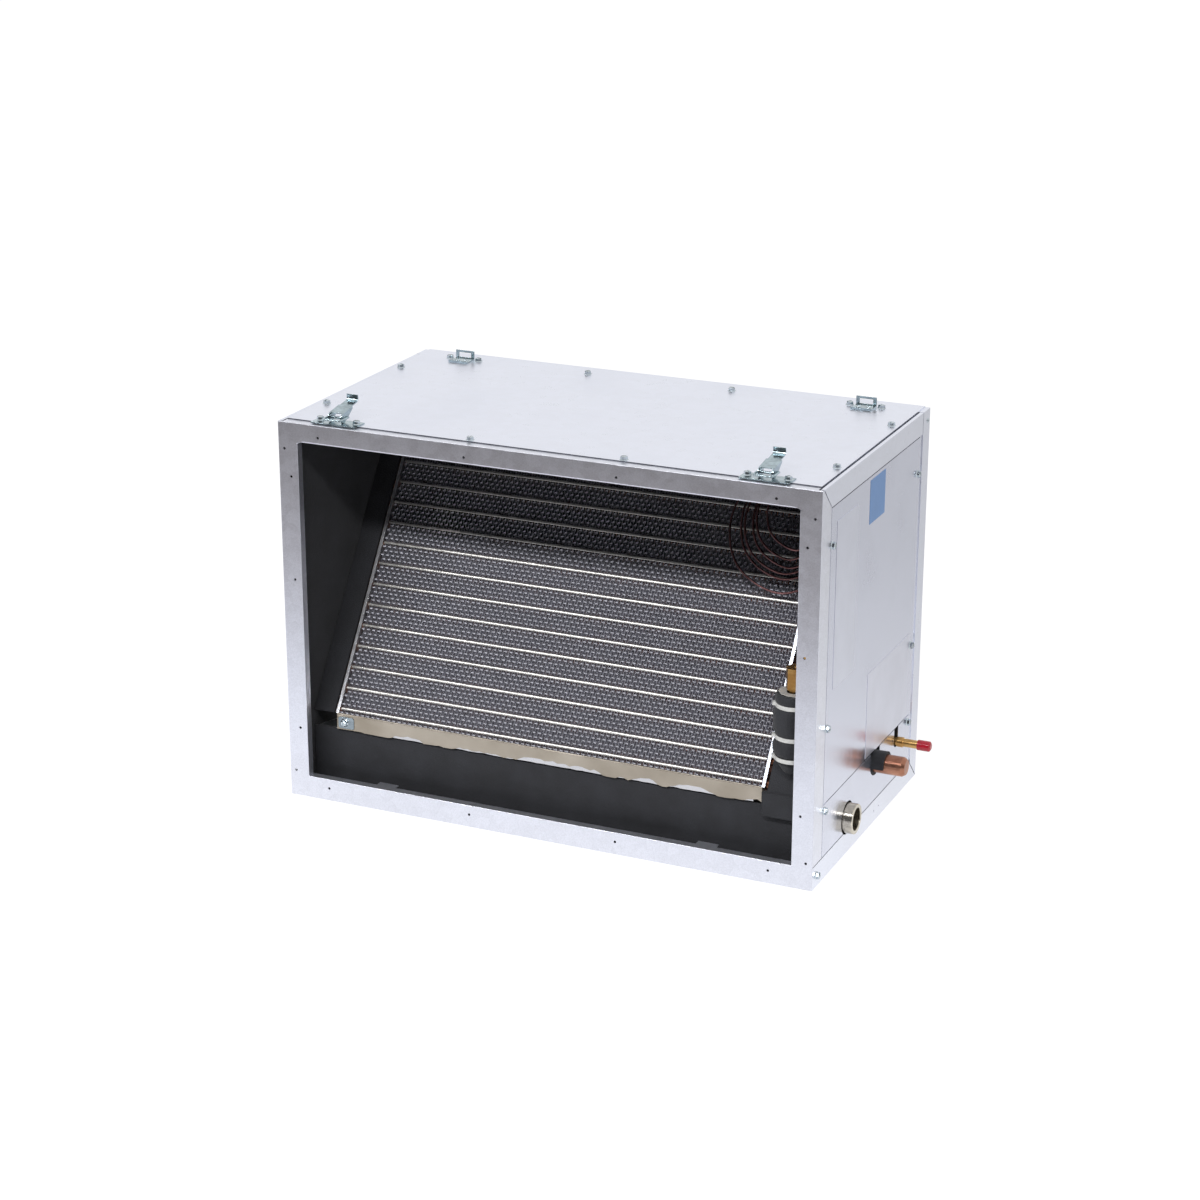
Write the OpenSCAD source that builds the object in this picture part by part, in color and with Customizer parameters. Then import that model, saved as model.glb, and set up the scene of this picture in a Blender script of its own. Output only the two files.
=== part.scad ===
/* [Cabinet] */
// Width of the cabinet across the air stream, along X
cabinet_w = 635; // [600:5:700]
// Depth of the cabinet along the air stream, front flange to back flange
cabinet_d = 350; // [335:5:380]
// Height of the cabinet, underside of the tray to the top of the cover
cabinet_h = 445; // [430:5:480]
// Thickness of every galvanised sheet of the cabinet
sheet_t = 1.0; // [0.8:0.1:1.4]
// Thickness of the black foam that lines the cabinet
liner_t = 12; // [9:0.5:14]
// Height of the tray's turned-up side flanges
tray_h = 26; // [20:1:32]
// Height of the side faces of the two top rails
rail_h = 26; // [20:1:32]
// Seam between two sheets that meet edge to edge
seam = 1.0; // [0.6:0.1:1.6]

/* [Duct frames] */
// Width of the duct flange at the two sides of the air opening
flange_side = 24; // [18:1:30]
// Width of the duct flange above the air opening
flange_top = 23; // [20:1:30]
// Height of the duct flange below the air opening
flange_bottom = 26; // [22:1:32]
// Depth of the inner return around the air opening
lip_depth = 10; // [6:1:14]
// Depth of the front frame's outer returns
front_return = 28; // [24:1:34]
// Depth of the back frame's outer returns
back_return = 23; // [20:1:30]
// Diameter of the small holes in the duct flanges
flange_hole_d = 3.0; // [2:0.1:4]
// Spacing of the two inner holes along the top and bottom flanges
hole_span_inner = 178; // [160:2:200]
// Spacing of the two outer holes along the top and bottom flanges
hole_span_outer = 535; // [510:5:550]
// Distance from the cabinet's top to the row of holes above the opening
hole_drop_top = 15; // [10:1:18]
// Height of the row of holes below the opening
hole_rise_bottom = 15; // [10:1:20]
// Distance of the side holes from the cabinet's sides
hole_inset_side = 15; // [8:1:18]
// Height of the lowest side holes
side_hole_low = 84; // [70:2:100]
// Height of the middle side holes
side_hole_mid = 262; // [240:2:280]
// Height of the highest side holes
side_hole_high = 382; // [360:2:400]
// Width of the small tabs at the opening's lower edge
lip_tab_w = 24; // [18:1:30]
// Length of the small tabs behind the inner return
lip_tab_l = 8; // [5:0.5:10]
// Width of the shelf behind the cover's back row of screws
back_shelf = 9; // [8:0.5:12]

/* [Top cover] */
// Width of the bright lip of each top rail beside the cover
rail_lip = 4; // [3:0.5:6]
// Dark groove between the cover's side edges and the rails' lips
cover_groove = 2; // [1.5:0.5:3]
// Distance of the cover's front edge from the front face
cover_setback = 12; // [9:1:16]
// Width of the shelf of each rail under the cover
rail_shelf = 15; // [12:1:20]
// Depth of the groove between each rail's lip and its shelf
rail_drop = 13; // [10:1:16]
// Distance of the cover's side screws from the cabinet's sides
cover_screw_inset = 15; // [12:0.5:18]
// Spacing of the side screws of the cover along Y
cover_screw_span_y = 176; // [160:2:200]
// Shift of the side screws of the cover towards the front
cover_screw_shift = 4; // [0:1:10]
// Spacing of the middle screws of the cover's front and back rows
cover_screw_span_x = 180; // [160:2:200]
// Distance of the front row of cover screws from the front face
front_row_y = 18; // [16:1:21]
// Distance of the back row of cover screws from the back face
back_row_y = 28; // [24:1:33]

/* [Screws] */
// Diameter of the screws' shanks
screw_d = 3.8; // [3:0.1:4.5]
// Length of the screws' shanks under the head
screw_l = 9; // [7:0.5:11]
// Diameter of the washer face under each hex head
washer_d = 8.6; // [7:0.1:9.5]
// Thickness of the washer face
washer_t = 0.8; // [0.5:0.1:1.2]
// Width across the flats of the hex heads
hex_af = 6.35; // [5:0.05:7]
// Height of the hex heads above the washer face
hex_h = 3.0; // [2:0.1:4]
// Clearance round a shank in its hole
shank_gap = 0.3; // [0.2:0.05:0.5]

/* [Side panels] */
// Height of the seam between the pipe panel and the access panel
pipe_panel_top = 88; // [84:1:110]
// Distance of the panels' back edge from the back face
panel_back = 31.5; // [28:0.5:34]
// Overlap of the frames' landing strips behind the panels
landing = 15; // [12:1:18]
// Distance of the panels' front screws behind the front edge of the panels
panel_screw_front = 4; // [3:0.5:8]
// Distance of the panels' back screws from the back edge of the panels
panel_screw_back = 6.5; // [5:0.5:9]
// Distance of the access panel's upper screws below its top edge
panel_screw_top = 41; // [30:1:60]
// Height of the access panel's lower screws above its bottom edge
panel_screw_low = 86; // [60:2:110]
// Distance of the pipe panel's screws below its top edge
pipe_screw_drop = 8; // [6:0.5:12]

/* [Coil slab] */
// Distance of the slab's lower front edge from the front face
coil_front_gap = 33.7; // [30:0.5:40]
// Height of the slab's lower front edge above the floor
coil_front_z = 94.4; // [92:0.5:104]
// Distance of the slab's upper front edge from the back face
coil_top_gap = 95; // [85:1:115]
// Room between the slab's upper front edge and the lining of the cover
coil_top_room = 4; // [3:0.5:8]
// Room between the cabinet's left side and the fins
coil_room_left = 46.5; // [42:0.5:55]
// Room between the cabinet's right side and the fins
coil_room_right = 71.5; // [70:0.5:85]
// Spacing of the tubes along the slope of the slab
tube_pitch = 25; // [24:0.1:26]
// Spacing of the tube rows through the slab
row_pitch = 21.65; // [20:0.05:22.5]
// Number of tube rows through the slab
tube_rows = 3; // [2:1:3]
// Outer diameter of the coil's tubes
tube_od = 9.52; // [8.5:0.02:10]
// Wall thickness of the coil's tubes
tube_wall = 0.6; // [0.4:0.05:0.9]
// Thickness of one plate of the fin pack, which stands for eleven thin fins
fin_t = 1.2; // [0.8:0.1:1.6]
// Number of plates in the fin pack
fin_count = 26; // [20:1:30]
// Clearance round the tubes in the fins and the end plates
tube_gap = 0.1; // [0.08:0.01:0.15]
// Thickness of the end plates and channels of the slab
end_plate_t = 1.2; // [1:0.1:1.6]
// Width of the end plates' turned front and back flanges
end_flange = 5; // [4:0.5:7]
// Length of tube that stands out of an end plate before its bend
tube_stand = 3; // [2:0.5:4]
// Height of the apron that hangs from the slab's lower channel
apron_h = 18; // [14:1:24]
// Thickness of the foam baffles beside the slab
baffle_t = 5; // [3:0.5:5]
// Length of the right foam flap below the apron's lower edge
flap_drop = 12; // [2:1:16]

/* [Drain pan] */
// Distance of the pan's front wall from the front face
pan_front = 38; // [38:0.5:44]
// Length of the pan along Y
pan_len = 108; // [95:1:120]
// Height of the pan's front wall above the floor lining
pan_front_h = 62; // [50:1:62]
// Height of the pan's back wall above the floor lining
pan_back_h = 43; // [41:1:46]
// Thickness of the pan's sheet
pan_t = 1.2; // [1:0.1:1.6]
// Distance of the pan's ends from the cabinet's sides
pan_side_gap = 17.5; // [16:0.5:20]
// Fall of the pan's floor towards the drain
pan_fall = 6; // [3:0.5:8]
// Thickness of the foam on the pan's front wall
pan_foam_t = 5; // [4:0.5:5]
// Distance of the drain coupling behind the front face
drain_back = 109; // [100:1:120]
// Height of the drain coupling's axis
drain_z = 42; // [38:0.5:46]
// Outer diameter of the drain coupling
drain_od = 34; // [30:0.5:36]
// Bore of the drain coupling
drain_bore = 25.4; // [20:0.1:27]
// Length of the drain coupling outside the cabinet
drain_out = 11; // [8:0.5:20]
// Clearance between the drain coupling and the holes round it
drain_gap = 2; // [1.5:0.1:2.5]

/* [Refrigerant pipes] */
// Outer diameter of the suction stub and line
suction_od = 22.2; // [19:0.1:24]
// Distance of the suction stub behind the front face
suction_back = 199; // [190:1:210]
// Height of the suction stub's axis
suction_z = 73; // [70:0.5:76]
// Length of the suction stub outside the cabinet
suction_out = 37; // [25:1:50]
// Outer diameter of the suction header beside the slab
header_od = 19; // [16:0.1:19.5]
// Distance of the suction header's axis from the cabinet's right side
header_inset = 35.5; // [35:0.1:37]
// Outer diameter of the liquid line
liquid_od = 9.52; // [8:0.02:10]
// Distance of the liquid line behind the front face
liquid_back = 272; // [262:1:280]
// Height of the liquid line's axis where it leaves the cabinet
liquid_z = 71; // [68:0.5:73]
// Length of the liquid stub outside the cabinet, without its cap's crown
liquid_out = 39; // [34:1:50]
// Length of the red cap on the liquid stub
cap_l = 14; // [11:0.5:18]
// Wall thickness of the red cap
cap_wall = 1.2; // [1:0.1:1.8]
// Wall thickness of the suction stub, header and liquid line
pipe_wall = 1.1; // [0.8:0.1:1.4]
// Height at which the liquid line runs forward inside the cabinet
liquid_run_z = 135; // [130:1:140]
// Outer diameter of the capillary tubes
cap_tube_od = 2.8; // [2.4:0.1:3.4]
// Radius of the foam wrap round the expansion valve
wrap_r = 19; // [17:0.5:20]
// Width of the cable ties on the foam wrap
tie_w = 4.5; // [3:0.1:6]
// Reach of the foam seal outside the cabinet above the suction stub
seal_out = 14; // [8:0.5:20]
// Wall thickness of the foam seal round the suction stub
seal_wall = 3.5; // [2.5:0.1:3.8]

/* [Latches and keepers] */
// Distance of the latches and keepers from the cabinet's centre
latch_x = 251; // [240:1:260]
// Spacing of the two screws of a latch
latch_span = 45; // [42:0.5:50]
// Length of a latch's base plate along X
latch_base_l = 56; // [53:0.5:60]
// Depth of a latch's base plate along Y
latch_base_d = 21; // [18:0.5:24]
// Thickness of the latches' and keepers' sheet
latch_t = 1.2; // [1:0.1:1.4]
// Height of a lever's pivot above the cover
pivot_h = 6.6; // [6.4:0.1:8]
// Distance of a lever's pivot behind the front face
pivot_back = 15; // [14:0.5:18]
// Diameter of the lever's pivot pin
pivot_d = 3; // [2.5:0.1:3.4]
// Radius from the lever's pivot to the bail's pivot
draw_r = 6; // [5.6:0.1:7]
// Length of a lever from its pivot to the back of its finger tab
lever_l = 38; // [32:1:44]
// Width of a lever's finger tab
tab_w = 14; // [11:0.5:16]
// Height of a lever's finger tab
tab_h = 7.5; // [6:0.5:10]
// Angle of a lever above the cover at rest
lever_rest = 9; // [5:1:14]
// Diameter of the bail's wire
wire_d = 2.4; // [2:0.1:2.8]
// Reach of the bail in front of its pivot
bail_l = 19; // [17:0.5:22]
// Width of a keeper along X
keeper_w = 24; // [20:0.5:28]
// Depth of a keeper's base along Y
keeper_d = 21; // [18:0.5:24]
// Height of a keeper's upright above the cover
keeper_h = 10.5; // [8:0.5:13]
// Distance of a keeper's upright from the back face
keeper_back = 25; // [22:0.5:30]

/* [Labels] */
// Thickness of the blank labels on the access panel
label_t = 0.3; // [0.2:0.05:0.5]
// Width of the tall label
rating_w = 66; // [50:1:80]
// Height of the tall label
rating_h = 186; // [150:1:200]
// Distance of the tall label from the panel's front edge
rating_inset = 18; // [12:1:30]
// Distance of the tall label from the panel's top edge
rating_drop = 19; // [10:1:30]
// Side of the square label
square_w = 49; // [40:1:60]
// Distance of the square label from the panel's back edge
square_inset = 119.5; // [110:0.5:130]
// Distance of the square label from the panel's top edge
square_drop = 4; // [2:1:10]
// Width of the notice label
notice_w = 143.5; // [120:0.5:150]
// Height of the notice label
notice_h = 100; // [80:1:110]
// Distance of the notice label from the panel's back edge
notice_inset = 12; // [8:1:20]
// Height of the notice label above the panel's bottom edge
notice_rise = 2; // [1:0.5:6]

/* [Hidden] */

$fn = 48;
// A small overlap that makes a cut run clean through a face
cut = 1;
galv = [0.76, 0.78, 0.80];
foam_black = [0.06, 0.06, 0.065];
zinc = [0.70, 0.74, 0.76];
copper = [0.72, 0.42, 0.28];
brass = [0.72, 0.58, 0.30];

// Cabinet planes
half_w = cabinet_w / 2;
half_d = cabinet_d / 2;
skin_x = half_w - sheet_t;
cover_z = cabinet_h - sheet_t;
lip_z = cover_z - sheet_t;
floor_z = sheet_t + liner_t;
ceiling_z = cover_z - liner_t;
liner_x = skin_x - liner_t;
rail_z = cabinet_h - rail_h;
open_x = half_w - flange_side;
open_z = cabinet_h - flange_top;
front_edge_y = -half_d + front_return;
back_edge_y = half_d - back_return;
panel_y0 = front_edge_y + seam;
panel_y1 = half_d - panel_back;
panel_z0 = tray_h + seam;
panel_z1 = rail_z - seam;
groove_x = half_w - rail_lip;
cover_x = groove_x - cover_groove;
cover_y0 = -half_d + cover_setback;
landing_front = front_edge_y + landing;
landing_back = panel_y1 - landing;
web_z = cover_z - rail_drop;
shelf_y = half_d - sheet_t - back_row_y - back_shelf;
shelf_x = cover_x - 2 * sheet_t;

// Screw positions
front_row = -half_d + front_row_y;
back_row = half_d - back_row_y;
side_screw_x = half_w - cover_screw_inset;
keeper_screw_dx = keeper_w / 2 + washer_d / 2 + 2.4;
cover_screw_at = [
    for (s = [-1, 1]) [s * cover_screw_span_x / 2, front_row],
    for (s = [-1, 1]) [s * cover_screw_span_x / 2, back_row],
    for (s = [-1, 1], y = [-1, 1]) [s * side_screw_x, y * cover_screw_span_y / 2 - cover_screw_shift],
    for (s = [-1, 1], k = [-1, 1]) [s * latch_x + k * keeper_screw_dx, back_row]];
latch_screw_at = [for (s = [-1, 1], k = [-1, 1]) [s * latch_x + k * latch_span / 2, front_row]];
access_screw_at = [
    for (y = [panel_y0 + panel_screw_front, panel_y1 - panel_screw_back])
    for (z = [panel_z1 - panel_screw_top, pipe_panel_top + panel_screw_low]) [y, z]];
pipe_screw_at = [
    for (y = [panel_y0 + panel_screw_front, panel_y1 - panel_screw_back])
    [y, pipe_panel_top - pipe_screw_drop]];
tray_screw_at = [-half_d + front_return / 2, tray_h / 2];
tab_places = [-199, 192];
side_hole_z = [side_hole_low, side_hole_mid, side_hole_high];
corner_hole_inset = hole_inset_side / 2;

// Slab planes: the slab leans back from its lower front edge
coil_y = -half_d + coil_front_gap;
coil_run = cabinet_d - coil_front_gap - coil_top_gap;
coil_rise = ceiling_z - coil_top_room - coil_front_z;
coil_tilt = atan2(coil_rise, coil_run);
tube_count = 2 * floor(norm([coil_run, coil_rise]) / tube_pitch / 2);
slab_l = tube_count * tube_pitch;
slab_t = tube_rows * row_pitch;
fin_x0 = -half_w + coil_room_left;
fin_x1 = half_w - coil_room_right;
plate_x0 = fin_x0 - end_plate_t;
plate_x1 = fin_x1 + end_plate_t;
tube_x0 = plate_x0 - tube_stand;
tube_x1 = plate_x1 + tube_stand;
bend_r = tube_pitch / 2;
apron_z = coil_front_z - apron_h;
apron_y = coil_y - end_plate_t;

// Pan planes
pan_x = half_w - pan_side_gap;
pan_y0 = -half_d + pan_front;
pan_y1 = pan_y0 + pan_len;
drain_y = -half_d + drain_back;
pan_low = drain_z - drain_bore / 2 - pan_t;
pan_top = floor_z + pan_front_h;
pan_back_top = floor_z + pan_back_h;
// The pan's own hole is a little wider than the coupling's bore
pan_hole_gap = 0.5;
foot_y = coil_y + slab_t * sin(coil_tilt) - end_plate_t * cos(coil_tilt);
foot_z = coil_front_z - slab_t * cos(coil_tilt) - end_plate_t * sin(coil_tilt);

// Pipe places
suction_r = suction_od / 2;
suction_y = -half_d + suction_back;
suction_bend = suction_od / 2 + 13;
header_x = half_w - header_inset;
header_r = header_od / 2;
header_depth = -slab_t / 2;
header_y = coil_y - header_depth * sin(coil_tilt)
    - (coil_front_z + header_depth * cos(coil_tilt) - suction_z) / tan(coil_tilt);
liquid_r = liquid_od / 2;
liquid_y = -half_d + liquid_back;
liquid_x = liner_x - liquid_r - 2.7;
liquid_bend = 10;
liquid_tip = half_w + liquid_out;
cap_bore_r = liquid_r + 0.05;
cap_r = cap_bore_r + cap_wall;
cap_x0 = liquid_tip - cap_l + cap_wall;
seal_r = suction_r + seal_wall;

// Valve places, in front of the right baffle
valve_x = half_w - 38.5;
valve_y = -half_d + 37;
valve_r = 7.5;
wrap_z0 = 118;
wrap_z1 = 208;
valve_z0 = 126;
hex_z0 = 212;
hex_z1 = 236;
valve_hex_af = 17;
spreader_x = half_w - 24.5;
spreader_y = valve_y + 6;
spreader_z0 = 247;
spreader_z1 = 262;
spreader_r = 7.5;
tie_z = [133, 157, 193];

// Capillary loops: centre from the slab's right and upper edges, radius, lift off the fins
loops = [for (q = [[24, 114, 76, 12], [21, 110, 65, 17], [20, 110, 60, 22],
        [14, 109, 55, 27], [14, 106, 50, 32], [7, 102, 44, 37]])
    [fin_x1 - q[0], slab_l - q[1], q[2], q[3]]];
cap_entry = [plate_x1 + end_flange + 13, (tube_count / 2) * tube_pitch + 10];
cap_entry_r = 10;

// Latch places
pivot_y = -half_d + pivot_back;
pivot_z = cabinet_h + pivot_h;
cheek_x = 6;
lever_x = cheek_x + latch_t + 0.3;
bail_x = lever_x + latch_t + 0.9 + wire_d / 2;
cheek_r = 4;
// The cheeks' front edge stands back from the pivot so that the lever can turn over it
cheek_foot = 2;
lever_top = 4.4;
run_gap = 0.08;
draw_angle = -10;
bail_dy = draw_r * cos(draw_angle);
bail_dz = draw_r * sin(draw_angle);
latch_base_y = pivot_y - latch_base_d / 2 + 0.5;
keeper_y1 = half_d - keeper_back;

// A cuboid between two corners
module block(a, b) {
    translate(a) cube(b - a);
}

// Puts children, drawn in the YZ plane, between two X planes
module along_x(x0, x1) {
    translate([x0, 0, 0]) rotate([90, 0, 90]) linear_extrude(x1 - x0) children();
}

// A round bar along X
module bar_x(x0, x1, y, z, r) {
    translate([x0, y, z]) rotate([0, 90, 0]) cylinder(h = x1 - x0, r = r);
}

// A round bar along Y
module bar_y(x, y0, y1, z, r) {
    translate([x, y1, z]) rotate([90, 0, 0]) cylinder(h = y1 - y0, r = r);
}

// Children in the slab's frame: Y up the slope, Z towards the front
module on_slab() {
    translate([0, coil_y, coil_front_z]) rotate([coil_tilt, 0, 0]) children();
}

// A hex washer-head screw along +Z, its washer face at the origin
module hex_screw(shank = screw_l) {
    cylinder(h = washer_t, d = washer_d);
    translate([0, 0, washer_t]) cylinder(h = hex_h, d = hex_af / cos(30), $fn = 6);
    translate([0, 0, -shank]) cylinder(h = shank + washer_t / 2, d = screw_d);
}

// Shank holes through sheets near height z
module shank_holes(at, z) {
    for (p = at) translate([p[0], p[1], z - 2 * cut - sheet_t])
        cylinder(h = 2 * sheet_t + 4 * cut, d = screw_d + 2 * shank_gap);
}

// Shank holes through the right side wall
module side_holes(at) {
    for (p = at) bar_x(skin_x - liner_t - cut, half_w + cut, p[0], p[1], screw_d / 2 + shank_gap);
}

// Small holes of a duct flange, cut along Y
module flange_holes(y) {
    d = flange_hole_d;
    for (s = [-1, 1]) {
        for (x = [hole_span_inner / 2, hole_span_outer / 2], z = [hole_rise_bottom, cabinet_h - hole_drop_top])
            bar_y(s * x, y - cut, y + sheet_t + cut, z, d / 2);
        for (z = side_hole_z) bar_y(s * (half_w - hole_inset_side), y - cut, y + sheet_t + cut, z, d / 2);
        for (z = [flange_bottom + 5, open_z - 8.5])
            bar_y(s * (half_w - corner_hole_inset), y - cut, y + sheet_t + cut, z, d / 2);
    }
}

// The flat ring of a duct flange and its inner return; side is -1 at the front and 1 at the back
module duct_ring(side) {
    y = side < 0 ? -half_d : half_d - sheet_t;
    y0 = side < 0 ? -half_d : half_d - lip_depth;
    difference() {
        block([-half_w, y, 0], [half_w, y + sheet_t, cover_z]);
        block([-open_x, y - cut, flange_bottom], [open_x, y + sheet_t + cut, open_z]);
        flange_holes(y);
    }
    difference() {
        block([-open_x - sheet_t, y0, flange_bottom - sheet_t], [open_x + sheet_t, y0 + lip_depth, open_z + sheet_t]);
        block([-open_x, y0 - cut, flange_bottom], [open_x, y0 + lip_depth + cut, open_z]);
    }
}

module base_tray() {
    color(galv) block([-skin_x, -half_d + sheet_t, 0], [skin_x, half_d - sheet_t, sheet_t]);
}

// The tray's turned-up side flanges, mitred at the back
module tray_sides() {
    color(galv) difference() {
        for (s = [-1, 1]) along_x(s < 0 ? -half_w : skin_x, s < 0 ? -skin_x : half_w)
            polygon([[-half_d + sheet_t, 0], [half_d - sheet_t, 0], [half_d - sheet_t - tray_h, tray_h],
                [-half_d + sheet_t, tray_h]]);
        bar_x(skin_x - cut, half_w + cut, drain_y, drain_z, drain_od / 2 + drain_gap);
        bar_x(skin_x - cut, half_w + cut, tray_screw_at[0], tray_screw_at[1], screw_d / 2 + shank_gap);
        for (y = [26, 42]) bar_x(skin_x - cut, half_w + cut, y, tray_h / 2, 1);
    }
}

// Landing strips behind the side panels, at both sides
module landings(y0, y1) {
    for (s = [-1, 1]) block([s < 0 ? -skin_x : skin_x - sheet_t, y0, panel_z0],
        [s < 0 ? -skin_x + sheet_t : skin_x, y1, panel_z1]);
}

module front_frame() {
    mitre = rail_h - sheet_t;
    color(galv) difference() {
        union() {
            duct_ring(-1);
            for (s = [-1, 1]) along_x(s < 0 ? -half_w : skin_x, s < 0 ? -skin_x : half_w)
                polygon([[-half_d + sheet_t, panel_z0], [front_edge_y, panel_z0], [front_edge_y, rail_z],
                    [front_edge_y - mitre, cover_z], [-half_d + sheet_t, cover_z]]);
            landings(front_edge_y - 8, landing_front);
            block([-cover_x, -half_d + sheet_t, lip_z], [cover_x, front_edge_y, cover_z]);
            block([-skin_x, -half_d + sheet_t, lip_z], [skin_x, panel_y0 - rail_h, cover_z]);
            block([-skin_x, -half_d + sheet_t, sheet_t], [skin_x, front_edge_y, 2 * sheet_t]);
            for (x = tab_places) block([x - lip_tab_w / 2, -half_d + lip_depth - cut, flange_bottom - sheet_t],
                [x + lip_tab_w / 2, -half_d + lip_depth + lip_tab_l, flange_bottom]);
        }
        shank_holes(concat(cover_screw_at, latch_screw_at), lip_z);
        side_holes(concat(access_screw_at, pipe_screw_at));
    }
}

module back_frame() {
    color(galv) difference() {
        union() {
            duct_ring(1);
            for (s = [-1, 1]) along_x(s < 0 ? -half_w : skin_x, s < 0 ? -skin_x : half_w)
                polygon([[back_edge_y, back_foot_z(back_edge_y)], [half_d - sheet_t, back_foot_z(half_d - sheet_t)],
                    [half_d - sheet_t, cover_z], [back_edge_y, cover_z]]);
            landings(landing_back, back_edge_y + 6);
            block([-shelf_x, shelf_y, lip_z], [shelf_x, half_d - sheet_t, cover_z]);
            block([-skin_x, back_edge_y, lip_z], [skin_x, half_d - sheet_t, cover_z]);
            block([-skin_x, back_edge_y, sheet_t], [skin_x, half_d - sheet_t, 2 * sheet_t]);
        }
        shank_holes(cover_screw_at, lip_z);
        side_holes(concat(access_screw_at, pipe_screw_at));
        for (p = keeper_rivet_at()) translate([p[0], p[1], lip_z - cut])
            cylinder(h = sheet_t + 2 * cut, r = rivet_r + 0.1);
    }
}

// Foot of the back frame's side return, along the mitre of the tray's flange
function back_foot_z(y) = max(half_d - sheet_t - y, 0) + 1.5 * seam;

module left_panel() {
    color(galv) block([-half_w, panel_y0, panel_z0], [-skin_x, back_edge_y - seam, panel_z1]);
}

// A roll-formed top rail: side face, lip, groove and the shelf that carries the cover
module top_rail() {
    y1 = back_edge_y - seam;
    mitre = rail_h - sheet_t - seam;
    difference() {
        union() {
            along_x(skin_x, half_w) polygon([[panel_y0, rail_z], [y1, rail_z], [y1, cover_z],
                [panel_y0 - mitre, cover_z]]);
            block([groove_x, panel_y0 - mitre, lip_z], [half_w, y1, cover_z]);
            block([cover_x - sheet_t, panel_y0, web_z], [skin_x, y1, web_z + sheet_t]);
            block([cover_x - sheet_t, panel_y0, web_z], [cover_x, y1, cover_z]);
            block([cover_x - rail_shelf, panel_y0, lip_z], [cover_x, shelf_y - seam, cover_z]);
        }
        shank_holes([for (p = cover_screw_at) [abs(p[0]), p[1]]], lip_z);
    }
}

module right_top_rail() {
    color(galv) top_rail();
}

module left_top_rail() {
    color(galv) mirror([1, 0, 0]) top_rail();
}

module top_cover() {
    color(galv) difference() {
        block([-cover_x, cover_y0, cover_z], [cover_x, half_d, cabinet_h]);
        shank_holes(concat(cover_screw_at, latch_screw_at), cover_z);
        for (p = keeper_rivet_at()) translate([p[0], p[1], cover_z - cut])
            cylinder(h = sheet_t + 2 * cut, r = rivet_r + 0.1);
    }
}

module cover_screws() {
    color(zinc) {
        for (p = cover_screw_at) translate([p[0], p[1], cabinet_h]) hex_screw();
        for (p = latch_screw_at) translate([p[0], p[1], cabinet_h + latch_t]) hex_screw(screw_l + latch_t);
    }
}

module access_panel() {
    color(galv) difference() {
        block([skin_x, panel_y0, pipe_panel_top + seam / 2], [half_w, panel_y1, panel_z1]);
        side_holes(access_screw_at);
    }
}

module access_liner() {
    color(foam_black) block([liner_x, landing_front + seam, pipe_panel_top + 2 * seam],
        [skin_x, landing_back - seam, panel_z1]);
}

module access_screws() {
    color(zinc) for (p = access_screw_at) translate([half_w, p[0], p[1]]) rotate([0, 90, 0]) hex_screw();
}

// A blank label on the access panel, between two corners given in Y and Z
module label(a, b) {
    block([half_w, a[0], a[1]], [half_w + label_t, b[0], b[1]]);
}

module rating_label() {
    y = panel_y0 + rating_inset;
    z = panel_z1 - rating_drop;
    color([0.83, 0.84, 0.86]) label([y, z - rating_h], [y + rating_w, z]);
}

module square_label() {
    y = panel_y1 - square_inset;
    z = panel_z1 - square_drop;
    color([0.36, 0.60, 0.82]) label([y - square_w, z - square_w], [y, z]);
}

module notice_label() {
    y = panel_y1 - notice_inset;
    z = pipe_panel_top + notice_rise;
    color([0.88, 0.89, 0.91]) label([y - notice_w, z], [y, z + notice_h]);
}

// Cuts in the pipe panel and its lining: two slots open at the top and the drain hole
module pipe_cuts(x0, x1) {
    for (p = [[suction_y, suction_z, seal_r + 0.4], [liquid_y, liquid_z, liquid_r + 2.2]]) {
        bar_x(x0, x1, p[0], p[1], p[2]);
        block([x0, p[0] - p[2], p[1]], [x1, p[0] + p[2], pipe_panel_top + 2 * cut]);
    }
    bar_x(x0, x1, drain_y, drain_z, drain_od / 2 + drain_gap);
}

module pipe_panel() {
    color(galv) difference() {
        block([skin_x, panel_y0, panel_z0], [half_w, panel_y1, pipe_panel_top - seam / 2]);
        side_holes(pipe_screw_at);
        pipe_cuts(skin_x - cut, half_w + cut);
    }
}

module pipe_liner() {
    color(foam_black) difference() {
        block([liner_x, landing_front + seam, floor_z], [skin_x, landing_back - seam, pipe_panel_top]);
        pipe_cuts(liner_x - cut, skin_x + cut);
    }
}

module panel_screws() {
    color(zinc) {
        for (p = pipe_screw_at) translate([half_w, p[0], p[1]]) rotate([0, 90, 0]) hex_screw();
        translate([half_w, tray_screw_at[0], tray_screw_at[1]]) rotate([0, 90, 0]) hex_screw(sheet_t);
    }
}

module left_liner() {
    color(foam_black) difference() {
        block([-skin_x, -half_d + lip_depth, floor_z], [-liner_x, back_edge_y, web_z]);
        block([-skin_x - cut, -half_d, floor_z - cut], [-skin_x + sheet_t, landing_front, web_z + cut]);
        block([-skin_x - cut, landing_back, floor_z - cut], [-skin_x + sheet_t, half_d, web_z + cut]);
    }
}

module top_liner() {
    x = cover_x - rail_shelf - seam;
    color(foam_black) block([-x, panel_y0, ceiling_z], [x, shelf_y - seam, cover_z]);
}

module bottom_liner() {
    color(foam_black) difference() {
        block([-skin_x, -half_d + sheet_t, sheet_t], [skin_x, half_d - sheet_t, floor_z]);
        block([-half_w, -half_d, 0], [half_w, front_edge_y, 2 * sheet_t]);
        block([-half_w, back_edge_y, 0], [half_w, half_d, 2 * sheet_t]);
    }
}

// Centre of tube i in row r, up the slope and through the slab; the rows are staggered
function tube_at(i, r) = [(i + 0.5) * tube_pitch + (r % 2 == 0 ? -1 : 1) * tube_pitch / 4, -(r + 0.5) * row_pitch];

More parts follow.
